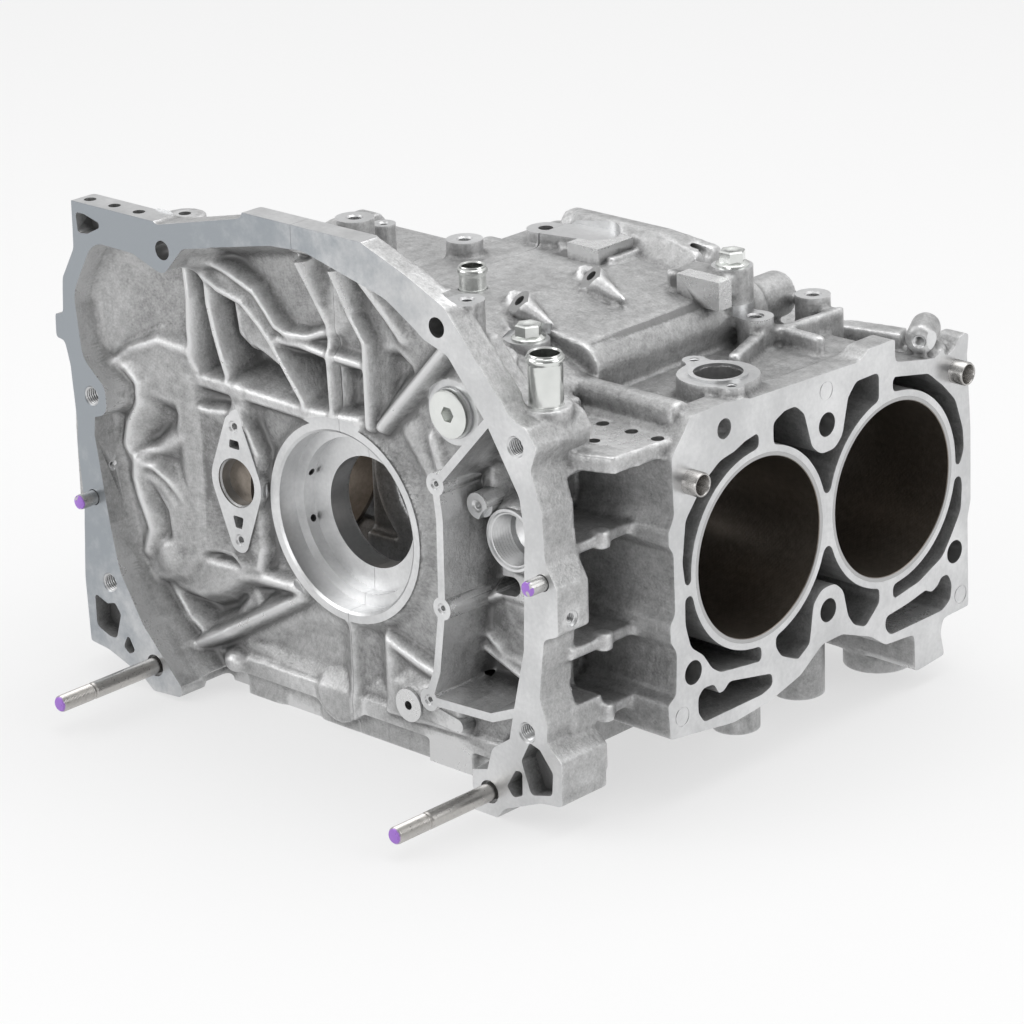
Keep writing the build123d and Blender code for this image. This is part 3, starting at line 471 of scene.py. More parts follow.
bell.hollow([(28, 104), (40, 108), (53, 100), (56, 92), (30, 68), (27, 84)], 29, 44, 2.0, 6)
bell.rib([(-116, 128, 26), (-112, 107, 24), (-113, 90, 24), (-112, 72, 24), (-107, 61, 26)], 2.3, 3.5, 4)
bell.rib([(-98, 124, 25), (-97, 107, 25), (-93, 91, 25), (-88, 76, 25), (-85, 62, 27)], 2.3, 3.5, 3)
bell.rib([(-82, 111, 32), (-80, 91, 33), (-72, 84, 35)], 1.2, 3.0, 2)
bell.mound([(-107, 129), (-88, 118), (-69, 114), (-56, 104), (-48, 96), (-43, 104), (-50, 112), (-59, 121),
            (-82, 130), (-100, 134)], 27, 3.0, 3)
bell.rib([(-100, 134, 21), (-82, 130, 23), (-59, 121, 24), (-50, 112, 24), (-43, 104, 24), (-36, 101, 25),
          (-21, 102, 26), (-4, 109, 28)], 1.4, 2.6, 4)
bell.rib([(-107, 128, 23), (-88, 117, 24), (-69, 113, 24), (-56, 103, 24), (-48, 95, 24), (-24, 61, 26)], 1.8, 3.0, 4)
bell.rib([(-47, 96, 26), (-28, 97, 26), (-8, 95, 26), (20, 94, 27)], 2.0, 3.0, 4)
bell.rib([(-4, 109, 28), (-4, 92, 25), (-4, 60, 26)], 2.0, 4.0, 4)
bell.rib([(15, 152, 10), (15, 122, 24), (24, 108, 25), (23, 60, 26)], 1.8, 3.0, 4)
bell.rib([(-11, 156, 8), (-11, 124, 25), (-3, 109, 27)], 1.6, 3.0, 4)
bell.mound([(-11, 158), (-10, 124), (1, 110), (14, 122), (4, 140)], 29, 1.2, 6)
bell.rib([(30, 146, 18), (48, 114, 30)], 2.0, 2.0, 8)
bell.rib([(96, 128, 20), (32, 62, 26)], 2.6, 3.0, 4)
bell.rib([(-121, 60, 26), (-86, 60, 25), (-22, 58, 26), (14, 60, 28)], 3.6, 2.8, 4)
# below the pad: a wide band, a three-cornered recess under it, the thick brace, and the sump edge
bell.mound([(-141, -62), (-124, -46), (-108, -46), (-83, -46), (-40, -45), (-36, -50), (-52, -50), (-74, -51),
            (-84, -54), (-100, -65), (-117, -71), (-135, -69)], 25, 2.2, 4, 2)
bell.hollow([(-112, -44), (-101, -41), (-90, -41), (-85, -46), (-97, -47), (-110, -48)], 24, 29, 1.6, 2)
bell.hollow([(-141, -68), (-135, -72), (-117, -74), (-100, -68), (-84, -57), (-74, -54), (-52, -53), (-50, -56),
             (-71, -68.5), (-96, -82), (-118, -93), (-129, -85)], 27, 42, 2.6, 2.5)
bell.rib([(-88, -58, 36), (-82, -68, 35), (-90, -79, 34)], 4.0, 1.2, 4)
bell.rib([(-141, -67, 24), (-129, -86, 26), (-119, -94, 27)], 1.0, 2.0, 3)
bell.rib([(-125, -103, 21), (-92, -85, 23), (-37, -53, 26)], 2.6, 4.0, 3)
bell.ball(-96, -107, 36, (10, 8, 11))
bell.rib([(0, -50, 29), (0, -116, 29)], 3.0, 3.0, 4)
bell.cone(-14, -104, 15, 30, 2.0, 5)
bell.hollow([(-84, -92), (-40, -68), (-6, -64), (-6, -98), (-60, -101)], 33, 38, 1.0, 5)
# right of the seal: the block with the sensor boss
bell.rib([(50, 62, 32), (66, 42, 31)], 3.0, 1.0, 6)
bell.rib([(66, 62, 31), (72, 48, 30), (78, 40, 31)], 2.0, 1.5, 4)
bell.mound([(27, -58), (58, -67), (84, -72), (86, -102), (27, -104)], 26, 3.5, 4)
bell.hollow([(32, -63), (56, -71), (78, -76), (78, -84), (60, -80), (34, -82)], 26, 32, 1.4, 4)
bell.hollow([(6, -56), (22, -58), (22, -96), (6, -96)], 33, 38, 1.0, 5)
# fillets at the feet of the seal housing, the pads and the bosses that are added afterwards
bell.cone(0, 0, 57.5, 29.0, 1.3, 5, 0.6)
bell.cone(50, -92, 10.5, 23.5, 3.0, 3)
bell.cone(82, 80, 16.5, 32.5, 1.5, 4)
# the side bay: a deep pocket behind the divider, with its port plate, screw boss and webs
divider = [(139, 96.5), (99.2, 53.3), (101.5, 34), (100.6, -16), (95.1, -52.7), (88.2, -71.2), (114.7, -70),
           (134.3, -69), (153, -61)]
bay = divider + [(163, -40), (166, 20), (160, 60)]
bell.hollow(bay, 20, 40, 4.0, 3)
bell.mound([(112, 44), (112, 18), (115, 12), (115, -16), (160, -16), (166, 44)], 30, 3.5, 3)
bell.mound([(112, -14), (101, -21), (95, -30), (104, -40), (114, -48), (130, -50), (160, -56), (160, -14)], 33, 2.0, 4)
bell.rib([(112, -14, 28), (101, -21, 27), (95, -30, 27), (104, -40, 29), (114, -48, 30), (132, -52, 31)], 1.2, 2.0, 3)
bell.rib([(84, -34, 26), (92, -42, 28), (111, -51, 29), (134, -60, 29)], 1.8, 2.5, 4)
bell.rib([(92, 60, 33), (97, 49, 31), (112, 64, 30), (134, 72, 28)], 2.0, 1.2, 5)
bell.cone(133, 24, 18.5, 22.0, 3.0, 4)
bell.rib([(113.5, 40, 24), (108, 58, 31)], 4.0, 1.6, 5)
for (a, b), (c, e) in zip(divider, divider[1:]):
    bell.rib([(a, b, 12), (c, e, 12)], 2.8, 9.0, 3)
# the side walls of the bell and its roof, and the way out at the bottom
opening = inside(u, v, rounded(bell_opening)) + 0.5
steep = 3.4 - 1.2 * np.clip((v - 118) / 12, 0, 1) * np.clip((u + 104) / 10, 0, 1) * np.clip((118 - u) / 10, 0, 1)
bell.h = np.where(v < -102, lower(bell.h, 31.0 + 0 * u, 2), bell.h)
bell.h = lower(bell.h, opening * steep + 9, 7)
bell.h = np.maximum(bell.h, -15)


def blurred(grid, reach):
    """The mean of each point's surroundings, by repeated shifts."""
    for _ in range(reach):
        grid = (grid + np.roll(grid, 1, 0) + np.roll(grid, -1, 0) + np.roll(grid, 1, 1) + np.roll(grid, -1, 1)) / 5
    return grid


bell.h = blurred(bell.h, 2)
# how much each spot of the wall lies open (above 0) or in a hollow (below 0)
bell_open = np.clip((blurred(np.maximum(bell.h, 22), int(70 / (bell.us[1] - bell.us[0]))) - bell.h) / 10, -0.9, 0.7)

bell_fill = [
    ((-160, 148), (0, 40), [(-160, -57), (-160, 132), (-127, 139), (-104, 132), (-88, 147), (-16, 150), (40, 150),
                            (66, 144), (90, 132), (112, 128), (140, 96), (148, 76), (148, -80), (134, -90),
                            (128, -112), (-106, -112), (-112, -117), (-141, -88)]),
    ((-118, 110), (36, 54), [(-118, -60), (-118, 112), (60, 112), (96, 100), (110, 60), (110, -60)]),
    ((90, 152), (36, 46), [(90, -64), (90, 90), (120, 80), (140, 60), (152, 40), (152, -60)]),
    ((-186, -150), (0, 19), [(-150, 138), (-162, 138), (-181, 104), (-177, 66), (-160, 52), (-160, 37), (-171, 34),
                             (-171, 22), (-164, -30), (-158, -57), (-150, -74)]),
    ((-184, -150), (15, 42), [(-150, 138), (-162, 138), (-181, 104), (-177, 70), (-150, 70)]),
    ((140, 168), (0, 25), [(140, 96), (163, 62), (165, 40), (162, -25), (152, -64), (146, -82), (140, -84)]),
    ((142, 178), (0, 24), [(159, -73), (170, -76), (179, -87), (178, -104), (160, -108), (146, -113), (141, -106),
                           (150, -90)]),
    ((-173, -158), (0, 15), [(-173, 154), (-159, 154), (-159, 138), (-173, 138)]),
    ((-181, -145), (0, 24), [(-180, -74), (-168, -78), (-160, -76), (-154, -86), (-150, -92), (-145, -104),
                             (-152, -109), (-159, -104), (-164, -102), (-180, -98)]),
]
bell_edge = rounded(bell_opening)
flange_pockets = {
    1: [[(161, -76, 2), (168, -78, 2), (177, -89, 4), (176, -102, 3), (161, -106, 3), (154.5, -88, 4)],
        [(150, -95, 2), (155, -94, 2), (154.6, -108, 2), (148, -111, 3), (143.5, -105.5, 2)]],
    -1: [[(-178.5, -76, 2), (-168, -80, 3), (-161.6, -78, 2), (-157, -84, 3), (-162, -100, 3), (-168, -100, 3),
          (-178.5, -96, 4)],
         [(-152, -95, 1.5), (-156.6, -103.5, 2), (-151.7, -107, 2), (-146.7, -104, 2)],
         [(-172, 152, 2), (-165, 152, 2), (-153, 149, 1.5), (-153, 146, 1.5), (-163, 141, 2), (-171, 140, 2)]],
}

# Pads and bosses with crisp outlines that are cast on the wall: the circles they lie round, the level of
# their face, how deep they go, and how much wider they are at the foot.
bell_pads = [
    ([(-79.7, 6.3, 19.5), (-79.7, 39.3, 7.0), (-79.7, -27.7, 7.0)], 21.0, 36, 1.2),
    ([(0, 0, 57.0)], 25.5, 36, 1.5), ([(133, 24, 17.0)], 17.0, 44, 1.5), ([(113.5, 40, 7.0)], 13.0, 44, 1.5),
    ([(113.5, 40, 4.0), (104, 38, 4.0)], 20.0, 44, 2.5), ([(50, -92, 9.5)], 22.0, 36, 0.8),
    ([(82, 80, 15.5)], 30.3, 36, 0.6), ([(50, -92, 6.0), (84, -96, 4.0)], 25.0, 36, 2.0),
]
bell_pads += [([(*a, 2.3), (*b, 2.3)], -3.0, 38, 1.8) for a, b in zip(divider, divider[1:])]
divider_screws = ((99.2, 53.3), (100.6, -16), (88.2, -71.2))
bell_pads += [([(*spot, 6.2)], -3.0, 38, 0.8) for spot in divider_screws]


# Seats that are milled flat: the axis they face, their level, the way out of the metal, two points that
# they lie round, and the distance round them.
seats = [
    (2, port_seat, 1, (175, 138.5), (175, 138.5), 20.5), (2, port_seat, 1, (175, 138.5), (150, 148), 7),
    (2, port_seat, 1, (175, 138.5), (193, 128), 7),
    (2, 98.0, 1, (138, 213), (138, 213), 10), (2, 98.0, 1, (138, 262), (138, 262), 10),
    (2, 125.0, 1, (-4, 200), (28, 207), 11),
    (2, 110.0, 1, (92, 82), (92, 82), 11.5), (2, 124.0, 1, (122, 213), (122, 213), 11.5),
    (2, 150.0, 1, (106, 22), (106, 22), 12),
    (2, 150.0, 1, (-45, 91), (-45, 91), 11), (2, 140.0, 1, (-48, 116), (-48, 116), 7),
    (2, 126.0, 1, (-24, 155), (-24, 155), 10.5),
    (1, 28.5, -1, (0, 0), (0, 0), 58), (1, 24.0, -1, (-79.7, 39), (-79.7, -27.7), 20.5),
    (1, 20.0, -1, (133, 24), (133, 24), 18),
    (1, 16.0, -1, (113.5, 40), (113.5, 40), 5), (1, 33.3, -1, (82, 80), (82, 80), 15.5),
]
bell_seats = {(1, 28.5), (1, 24.0), (1, 20.0), (1, 16.0), (1, 33.3)}


def seat_cutter(axis, level, way, a, b, r):
    return prism(hull([(*a, r + 2.5), (*b, r + 2.5)]), axis, *sorted((level, level + way * (skin + 3))))


def lifted(co, planes):
    """Where each corner of a CAD mesh goes so that its milled faces stand proud before they are cut."""
    mm = co * 1000 + np.array((0, seal_face, 0))
    moves = np.zeros_like(co)
    for axis, level, way in planes:
        moves[np.abs(mm[:, axis] - level) < 0.02, axis] = way * skin / 1000
    for axis, level, way, a, b, r in seats:
        if (axis, level) in bell_seats or level == port_seat:
            continue
        u, v = [mm[:, i] for i in range(3) if i != axis]
        near = run_distance(u, v, [(*a, 0), (*b, 0)])[0] < r + 0.4
        moves[near & (np.abs(mm[:, axis] - level) < 0.02), axis] = way * skin / 1000
    return moves


# Materials of the castings. The cast skin is dull and mottled, with a painted highlight on convex edges and
# open ribs and painted shade in corners and hollows; milled faces are bright with faint cutter marks.
cast_material, tree, where = new_material("cast_aluminium_skin")
# the attribute read here carries painted light: a highlight on convex edges and open ribs, and painted shade in corners
# and hollows
edge_highlight_hollow_shade = add_node(tree, "ShaderNodeAttribute", {"attribute_name": "edge_highlight_hollow_shade"}, {}, "Fac")
cloud = noise(where, 30.0, 4.0, 0.62)
patch = noise(where, 9.0, 2.0)
mottle = noise(where, 190.0, 4.0, 0.68)
grain = noise(where, 750.0, 3.0, 0.6)
speck = noise(where, 2600.0, 1.0)
shade = cloud * 0.5 + patch * 0.25 + mottle * 0.8 + grain * 0.65 + edge_highlight_hollow_shade * 1.25 - 0.66
shade = shade.maths("MAXIMUM", 0.0).maths("MINIMUM", 1.0)
colour = shade.mixed(grey(0.19, 0.0), grey(0.72, 0.002))
bump = bumped(grain * 0.9 + speck * 0.4 + mottle * 1.6 + cloud * 4 + patch * 6, 0.00022, 1.0)
dull = mottle * 0.2 + cloud * 0.2 + 0.18 - edge_highlight_hollow_shade * 0.12
close_material(tree, {"Base Color": colour, "Metallic": 0.66, "Roughness": dull, "Normal": bump})

machined_material, tree, where = new_material("milled_aluminium")
stain = noise(where, 22.0, 4.0, 0.6)
fine = noise(where, 420.0, 2.0)
rings = add_node(tree, "ShaderNodeTexWave", {"wave_type": "RINGS", "rings_direction": "SPHERICAL"},
                 {"Vector": where, "Scale": 190.0, "Distortion": 2.2, "Detail": 2.0})
streak = noise(where, 60.0, 5.0, 0.7)
# painted shade: the left and upper part of the gearbox face is darkened and tinted blue, broken up by streaks
painted_face_shade = (where.part(0) * -4.5 + where.part(2) * 3.0 + streak * 1.3).ramp(0.45, 1.45)
painted_face_shade = painted_face_shade * (where.part(1) * 1000 + seal_face).ramp(0.6, 0.3)
colour = (stain * 0.8 + fine * 0.2).ramp(0.3, 0.75).mixed(grey(0.58, 0.008), grey(0.82, 0.004))
colour = painted_face_shade.mixed(colour, grey(0.36, 0.07))
bump = bumped(rings * 0.35 + fine * 0.4, 0.00006, 0.6)
close_material(tree, {"Base Color": colour, "Metallic": 0.9, "Roughness": stain * 0.16 + 0.24, "Normal": bump})


# Drilled bores: a darker grey than the milled faces, which paints the shade that falls inside the holes.
drilled_painted_shade_material, tree, where = new_material("drilled_aluminium_painted_shade")
fine = noise(where, 420.0, 2.0)
close_material(tree, {"Base Color": fine.mixed(grey(0.34), grey(0.48)), "Metallic": 0.9, "Roughness": fine * 0.2 + 0.3})


def corners(mesh, value="co"):
    """The places or the normals of a mesh's corners, one row each."""
    rows = np.empty(len(mesh.vertices) * 3)
    mesh.vertices.foreach_get(value, rows)
    return rows.reshape(-1, 3)


def curvature(mesh):
    """How much each corner of a mesh stands out of its surroundings, from -1 to 1, spread a little."""
    n = len(mesh.vertices)
    co, normal = corners(mesh), corners(mesh, "normal")
    edges = np.empty(len(mesh.edges) * 2, int)
    mesh.edges.foreach_get("vertices", edges)
    a, b = edges.reshape(-1, 2).T
    count = np.bincount(a, minlength=n) + np.bincount(b, minlength=n) + 1e-9

    def around(values):
        return (np.bincount(a, values[b], n) + np.bincount(b, values[a], n)) / count
    length = np.linalg.norm(co[a] - co[b], axis=1)
    mean_length = (np.bincount(a, length, n) + np.bincount(b, length, n)) / count + 1e-9
    centre = np.stack([around(co[:, i]) for i in range(3)], 1)
    out = ((co - centre) * normal).sum(1) / mean_length
    for _ in range(3):
        out = 0.5 * out + 0.5 * around(out)
    return np.clip(out * 3.0, -1, 1)


def wall_openness(co):
    """Painted highlight on open ribs and painted shade in hollows, from how open the wall lies, for corners on the
    wall.
    """
    x, y, z = (co * 1000 + np.array((0, seal_face, 0))).T
    step = bell.us[1] - bell.us[0]
    i = np.clip(((x - bell.us[0]) / step).round().astype(int), 0, len(bell.us) - 1)
    k = np.clip(((z - bell.vs[0]) / step).round().astype(int), 0, len(bell.vs) - 1)
    on_wall = (np.abs(y - bell.h[i, k]) < 2.5) & (y > 2)
    return np.where(on_wall, bell_open[i, k] * 0.4, 0)


def casting(name, node, planes, clear, fills, steps):
    """A case half: the CAD solid softened as a casting, then given its relief, milled and drilled."""
    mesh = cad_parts[node].data.copy()
    body = mesh_object(name, mesh)
    work = bmesh.new()
    work.from_mesh(mesh)
    bmesh.ops.remove_doubles(work, verts=work.verts, dist=1e-6)
    work.to_mesh(mesh)
    work.free()
    mesh.materials.clear()
    co = corners(mesh)
    co += lifted(co, planes)
    mesh.vertices.foreach_set("co", co.ravel())
    for shape in clear:
        combined(body, solid_mesh("clear", [shape]), "DIFFERENCE")
    extra = mesh_object("extra", solid_mesh("extra", fills))
    with bpy.context.temp_override(active_object=body, selected_editable_objects=[body, extra]):
        bpy.ops.object.join()
    remesh = body.modifiers.new("remesh", "REMESH")
    remesh.mode = "VOXEL"
    remesh.voxel_size = voxel
    smooth = body.modifiers.new("smooth", "SMOOTH")
    smooth.factor = 0.5
    smooth.iterations = 6
    mesh = evaluated(body)
    mesh.materials.clear()
    mesh.materials.append(cast_material)
    for operation, tool in steps:
        combined(body, tool, operation)
    triangles = sum(len(p.vertices) - 2 for p in body.data.polygons)
    thin = body.modifiers.new("thin", "DECIMATE")
    thin.ratio = min(1.0, most_triangles / triangles)
    mesh = evaluated(body)
    mesh.polygons.foreach_set("use_smooth", [True] * len(mesh.polygons))
    work = bmesh.new()
    work.from_mesh(mesh)
    for edge in work.edges:
        if len(edge.link_faces) == 2:
            a, b = edge.link_faces
            limit = 50 if a.material_index == 0 else 28
            edge.smooth = a.material_index == b.material_index and edge.calc_face_angle(0) < radians(limit)
        else:
            edge.smooth = False
    work.to_mesh(mesh)
    work.free()
    # painted highlight on convex edges and open ribs, painted shade in corners and hollows, for the cast skin's colour
    edge_highlight_hollow_shade = mesh.attributes.new("edge_highlight_hollow_shade", "FLOAT", "POINT")
    edge_highlight_hollow_shade.data.foreach_set("value", curvature(mesh) + wall_openness(corners(mesh)))
    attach(body, "root")
    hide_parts(node)
    print(name, "triangles", triangles, "thinned to", sum(len(p.vertices) - 2 for p in mesh.polygons))
    return body


deck = 201.0
rail = -125.99
joint_line = 0.1
cylinder_ys = {1: (140.0, 253.0), -1: (83.5, 196.5)}
bank_mid = {1: 196.5, -1: 140.0}
liner_d = 104.5
# Cleared before the softening: recesses in the pan rail and behind the flange. Bosses added then: on the
# top, on the side and under the rail.
rail_cuts = {1: [[(30, 20), (55, 20), (55, 30), (51, 34), (34, 34), (30, 30)],
                 [(88, 20), (117, 20), (117, 42), (93, 42), (88, 37)]],
             -1: [[(-116, 20), (-91, 20), (-91, 37), (-96, 42), (-116, 42)],
                  [(-66, 20), (-28, 20), (-28, 31), (-32, 36), (-62, 36), (-66, 31)]]}
clear = {1: [prism(outline, 2, -132, -114) for outline in rail_cuts[1]]
            + [prism([(60, 122), (106, 112), (141, 102.5), (141, 190), (60, 190)], 1, 17, 66),
             prism([(141, 102.5), (200, 102.5), (200, 190), (141, 190)], 1, 17, 60),
             prism(hull([(190, 296, 13)]), 2, 70, 90)],
         -1: [prism(outline, 2, -132, -114) for outline in rail_cuts[-1]]
            + [prism([(-210, 143), (-88, 143), (-88, 190), (-210, 190)], 1, 17, 75)]}
inclined = [(69, 100, 122), (70, 156, 122)]
inclined_axis = (-0.3, -0.58, 0.76)
lug, lug_axis = (197, 281, 77), (-0.45, 0.88, 0.1)
bosses = {1: [rod(at(106, 22, 96), upward, 19, 57), rod(at(155, 27, 80), upward, 28, 22),
              rod(at(170, 11, -4), (1, 0, 0), 15, 13), prism(hull([(66, 32, 10), (78, 32, 10)]), 2, -129, -115),
              lathe(at(*lug), lug_axis, [(5, 0), (8.5, 2), (8.5, 22), (4, 28)])]
             + [lathe(at(*spot), (-inclined_axis[0], -inclined_axis[1], -inclined_axis[2]), [(6.5, -3), (8, 12)])
                for spot in inclined]
             + [lathe(at(x, y, z - 3), (28, -5, -4), [(6.5, -2), (6.5, 6), (1.5, 30)]) for x, y, z in inclined],
          -1: [rod(at(-113, 28, 140), upward, 24, 15)]}
crisp = {1: [block((104, 187.5, 106), (134, 198, 122)), block((27, 184, 110), (50, 213, 126.2))], -1: []}


# Threaded holes, with their grooves, and plain drilled ones.
threads = {
    1: [tapped(at(157.8, 0, 86.8), inward, 10.6, 22), tapped(at(159.3, 0, -70.8), inward, 10.6, 22),
        tapped(at(113.5, 16, 40), inward, 6, 12, 1.0), tapped(at(133, 20, 24), inward, 30, 19, 2.0, 64),
        tapped(at(150, 148, 94), downward, 6.5, 13, 1.0), tapped(at(193, 128, 94), downward, 6.5, 13, 1.0),
        tapped(at(138, 213, 98), downward, 8.4, 17, 1.2), tapped(at(138, 262, 98), downward, 8.4, 17, 1.2),
        tapped(at(106, 22, 150), downward, 7.4, 12, 1.0), tapped(at(183, 11, -4), (-1, 0, 0), 7.5, 16, 1.2),
        tapped(at(*lug), lug_axis, 7, 14, 1.0, 24)]
       + [tapped(at(x, 0, z), inward, 5, 12, 0.9, 20) for x, z in divider_screws],
    -1: [tapped(at(-169.5, 0, 44.8), inward, 10.6, 22), tapped(at(-164.9, 0, -66.5), inward, 10.6, 22),
         tapped(at(-79.7, 24, 39.3), inward, 6, 12, 0.9, 20), tapped(at(-79.7, 24, -27.7), inward, 6, 12, 0.9, 20),
         tapped(at(-45, 91, 150), downward, 8.4, 16, 1.2), tapped(at(-48, 116, 140), downward, 5.4, 14, 1.0),
         tapped(at(-24, 155, 126), downward, 8.0, 14, 1.2), tapped(at(-165, 8.9, 2.2), (-1, 0.35, 0), 5.4, 8, 1.0, 20)]
        + [tapped(at(-92 + dx, 312, 6 + dz), (0, -1, 0), 6.6, 16, 1.0) for dx in (-23, 23) for dz in (-38, 38)],
}
holes = {
    1: [rod(at(105, -4, 140.1), inward, 11, 30), rod(at(130.5, -4, -112.5), inward, 10.1, 28),
        rod(at(130.5, -4, -112.5), inward, 13, 7), rod(at(173.5, -4, 16.5), inward, 9.4, 19),
        rod(at(50, 15, -92), inward, 5.2, 22), rod(at(82, 20, 80), inward, 20.1, 34),
        lathe(at(175, 138.5, 99), downward, [(14.6, 0), (14.6, 5), (13.25, 6.4), (13.25, 27)]),
        rod(at(92, 82, 115), downward, 8.1, 24), rod(at(122, 213, 129), downward, 8.1, 24),
        rod(at(22, 113, 122), downward, 15.4, 15), rod(at(155, 27, 107), downward, 18.9, 15),
        rod(at(66, 34, -112), downward, 4.5, 9), rod(at(166, 50, 82), downward, 7, 12)]
       + [lathe(at(*spot), inclined_axis, [(3.2, -16), (3.2, 0), (9, 0.1), (9, 7)]) for spot in inclined]
       + [rod(at(x, 72.5, 90), downward, 7, 18) for x in (152, 172, 190)],
    -1: [rod(at(-102, -4, 142.7), inward, 11, 30), rod(at(-130.5, -4, -108.5), inward, 10.1, 28),
         rod(at(-130.5, -4, -108.5), inward, 13, 7), rod(at(-173.5, -4, -16.5), inward, 9.4, 19),
         lathe(at(-79.7, 18, 6.3), inward, [(14.4, 0), (14.4, 7), (13.5, 7.9), (13.5, 12.7), (11.5, 20)]),
         rod(at(-92, 350, 6), (0, -1, 0), 40, 80), rod(at(-4, 200, 130), downward, 8.5, 18),
         rod(at(-68, 40, -112), downward, 4.5, 9), rod(at(-113, 28, 162), downward, 7, 12),
         rod(at(-36, 46.5, 12.6), (-0.945, 0, 0.328), 4.2, 20), rod(at(-36, 46.8, -10.4), (-0.96, 0, -0.28), 4.2, 20)]
        + [rod(at(x, 8, 164), downward, 7, 18) for x in (-168, -148, -128)],
}
# faint rings that the ejector pins of the mould left on the deck
rings = {1: [lathe(at(deck - 0.3, y, z), (1, 0, 0), [(4.9, 0), (5.6, 0), (5.6, 1), (4.9, 1)], 32, True)
             for y, z in ((196, 72.6), (75, -75.6), (314, -81))], -1: []}
# cast pockets that go deeper than the wall: two in the side bay, two in the diamond pad
pockets = {1: [prism(hull([(115, -8, 5.5), (124, -7, 5.5)]), 1, 26, 70),
               prism(hull([(91, -66, 3), (99, -67, 3.5)]), 1, 34, 60)],
           -1: [prism(rounded([(-83.2, 31.5, 1), (-76.2, 31.5, 1), (-75.4, 26.5, 1), (-84.0, 26.5, 1)]), 1, 20, 30),
                prism(rounded([(-84.0, -13.5, 1), (-75.4, -13.5, 1), (-77.2, -20.5, 1), (-82.2, -20.5, 1)]),
                      1, 20, 30)]}


def joined(shapes, material):
    """Shapes united into one tool."""
    tool = mesh_object("tools", solid_mesh("tools", shapes[:1], material))
    for shape in shapes[1:]:
        combined(tool, solid_mesh("tool", [shape], material), "UNION")
    mesh = tool.data
    bpy.data.objects.remove(tool)
    return mesh


for side, node in ((1, "case_half_right"), (-1, "case_half_left")):
    planes = [(0, side * deck, side), (0, 0.0, -side), (1, 0.0, -1), (1, 312.0, 1), (2, -126.0, -1), (2, 158.0, 1),
              (2, 175.8, 1)]
    slabs = [block((-300, -20, crest), (300, 60, 200)), block((-300, -20, -200), (300, 0, 200)),
             block((-130, 312, -200), (70, 330, 200)), block((-300, -50, -150), (300, 400, rail))]
    if side > 0:
        slabs += [block((deck, -50, -200), (deck + 20, 400, 200)), block((-300, -50, -200), (joint_line, 400, 200))]
    else:
        slabs += [block((-deck - 20, -50, -200), (-deck, 400, 200)),
                  block((-joint_line, -50, -200), (300, 400, 200)), block((-300, -20, 158), (-108, 17, 180))]
    drills = [rod(at(side * 76, y, 0), (side, 0, 0), liner_d, 130, 96) for y in cylinder_ys[side]]
    drills.append(lathe(at(0, 20, 0), inward, [(53, 0), (53, 8.5), (51.5, 9.6), (51.5, 21.5), (45, 22),
                                                  (45, 29.5), (32, 30), (32, 320)], 96))
    for i in (-1, 0, 1):
        for way in (-1, 1):
            spot = at(side * (deck + 3), bank_mid[side] + i * 112, way * 53.5)
            drills.append(lathe(spot, (-side, 0, 0), [(6.8, 0), (6.8, 17), (5.25, 18), (5.25, 73)], 28))
    milled = [seat_cutter(*seat) for seat in seats]
    relief = mesh_object("relief", solid_mesh("relief", [bell.shape(lambda a, b, w: at(a, w, b), -18)], cast_material))
    combined(relief, solid_mesh("edge", [prism(bell_edge, 1, -17, 60, inset(bell_edge, 2.2))], cast_material),
             "INTERSECT")
    steps = [("DIFFERENCE", relief.data)]
    bpy.data.objects.remove(relief)
    pads = [prism(hull(circles), 1, near, far, hull(circles, grow)) for circles, near, far, grow in bell_pads
            if side * circles[0][0] >= 0] + crisp[side]
    steps.append(("UNION", joined(pads, cast_material)))
    steps.append(("DIFFERENCE", joined(slabs + milled + drills[:3] + threads[side] + rings[side], machined_material)))
    steps.append(("DIFFERENCE", joined(drills[3:] + holes[side], drilled_painted_shade_material)))
    if side > 0:
        port_ring = lathe(at(175, 138.5, 0), upward, [(13.4, 92), (16.2, 92), (16.2, 93.9), (13.4, 93.9)], 48, True)
        steps.append(("UNION", solid_mesh("ring", [port_ring], machined_material)))
    recesses = [prism(rounded(outline), 1, -4, 11) for outline in flange_pockets[side]]
    steps.append(("DIFFERENCE", joined(recesses + pockets[side], cast_material)))
    fills = list(bosses[side])
    for (low, high), (near, far), outline in bell_fill:
        flat = [(min(max(a, 0), 400) if side > 0 else max(min(a, 0), -400), b) for a, b in outline]
        if (high > 0) if side > 0 else (low < 0):
            fills.append(prism(flat, 1, near, far))
    casting("casting_right" if side > 0 else "casting_left", node, planes, clear[side], fills, steps)

# Cylinder liners: iron sleeves cast into the block, bored and honed with it. The honing leaves fine
# crossed lines on the dark bore; the end is milled with the deck and is as bright as that.
liner_material, tree, where = new_material("honed_iron")
round_bore = add_node(tree, "ShaderNodeAttribute", {"attribute_name": "round_bore"}, {}, "Fac")
marks = noise(where, 300.0, 4.0, 0.7)
along = where.part(0) * 1000
hatch = [(along + round_bore * way).maths("MULTIPLY", 2.6).maths("SINE") for way in (34, -34)]
film = noise(where, 14.0, 2.0)
deck_end = along.maths("ABSOLUTE").ramp(deck - 0.3, deck - 0.1)
warm = (film * 0.6 + marks * 0.4).ramp(0.3, 0.7).mixed((0.17, 0.145, 0.12, 1), (0.30, 0.265, 0.23, 1))
colour = deck_end.mixed(warm, grey(0.46))
bump = bumped(hatch[0] * 0.5 + hatch[1] * 0.5 + marks, 0.00003, 0.5)
close_material(tree, {"Base Color": colour, "Metallic": 0.85, "Roughness": marks * 0.14 + 0.24, "Normal": bump})


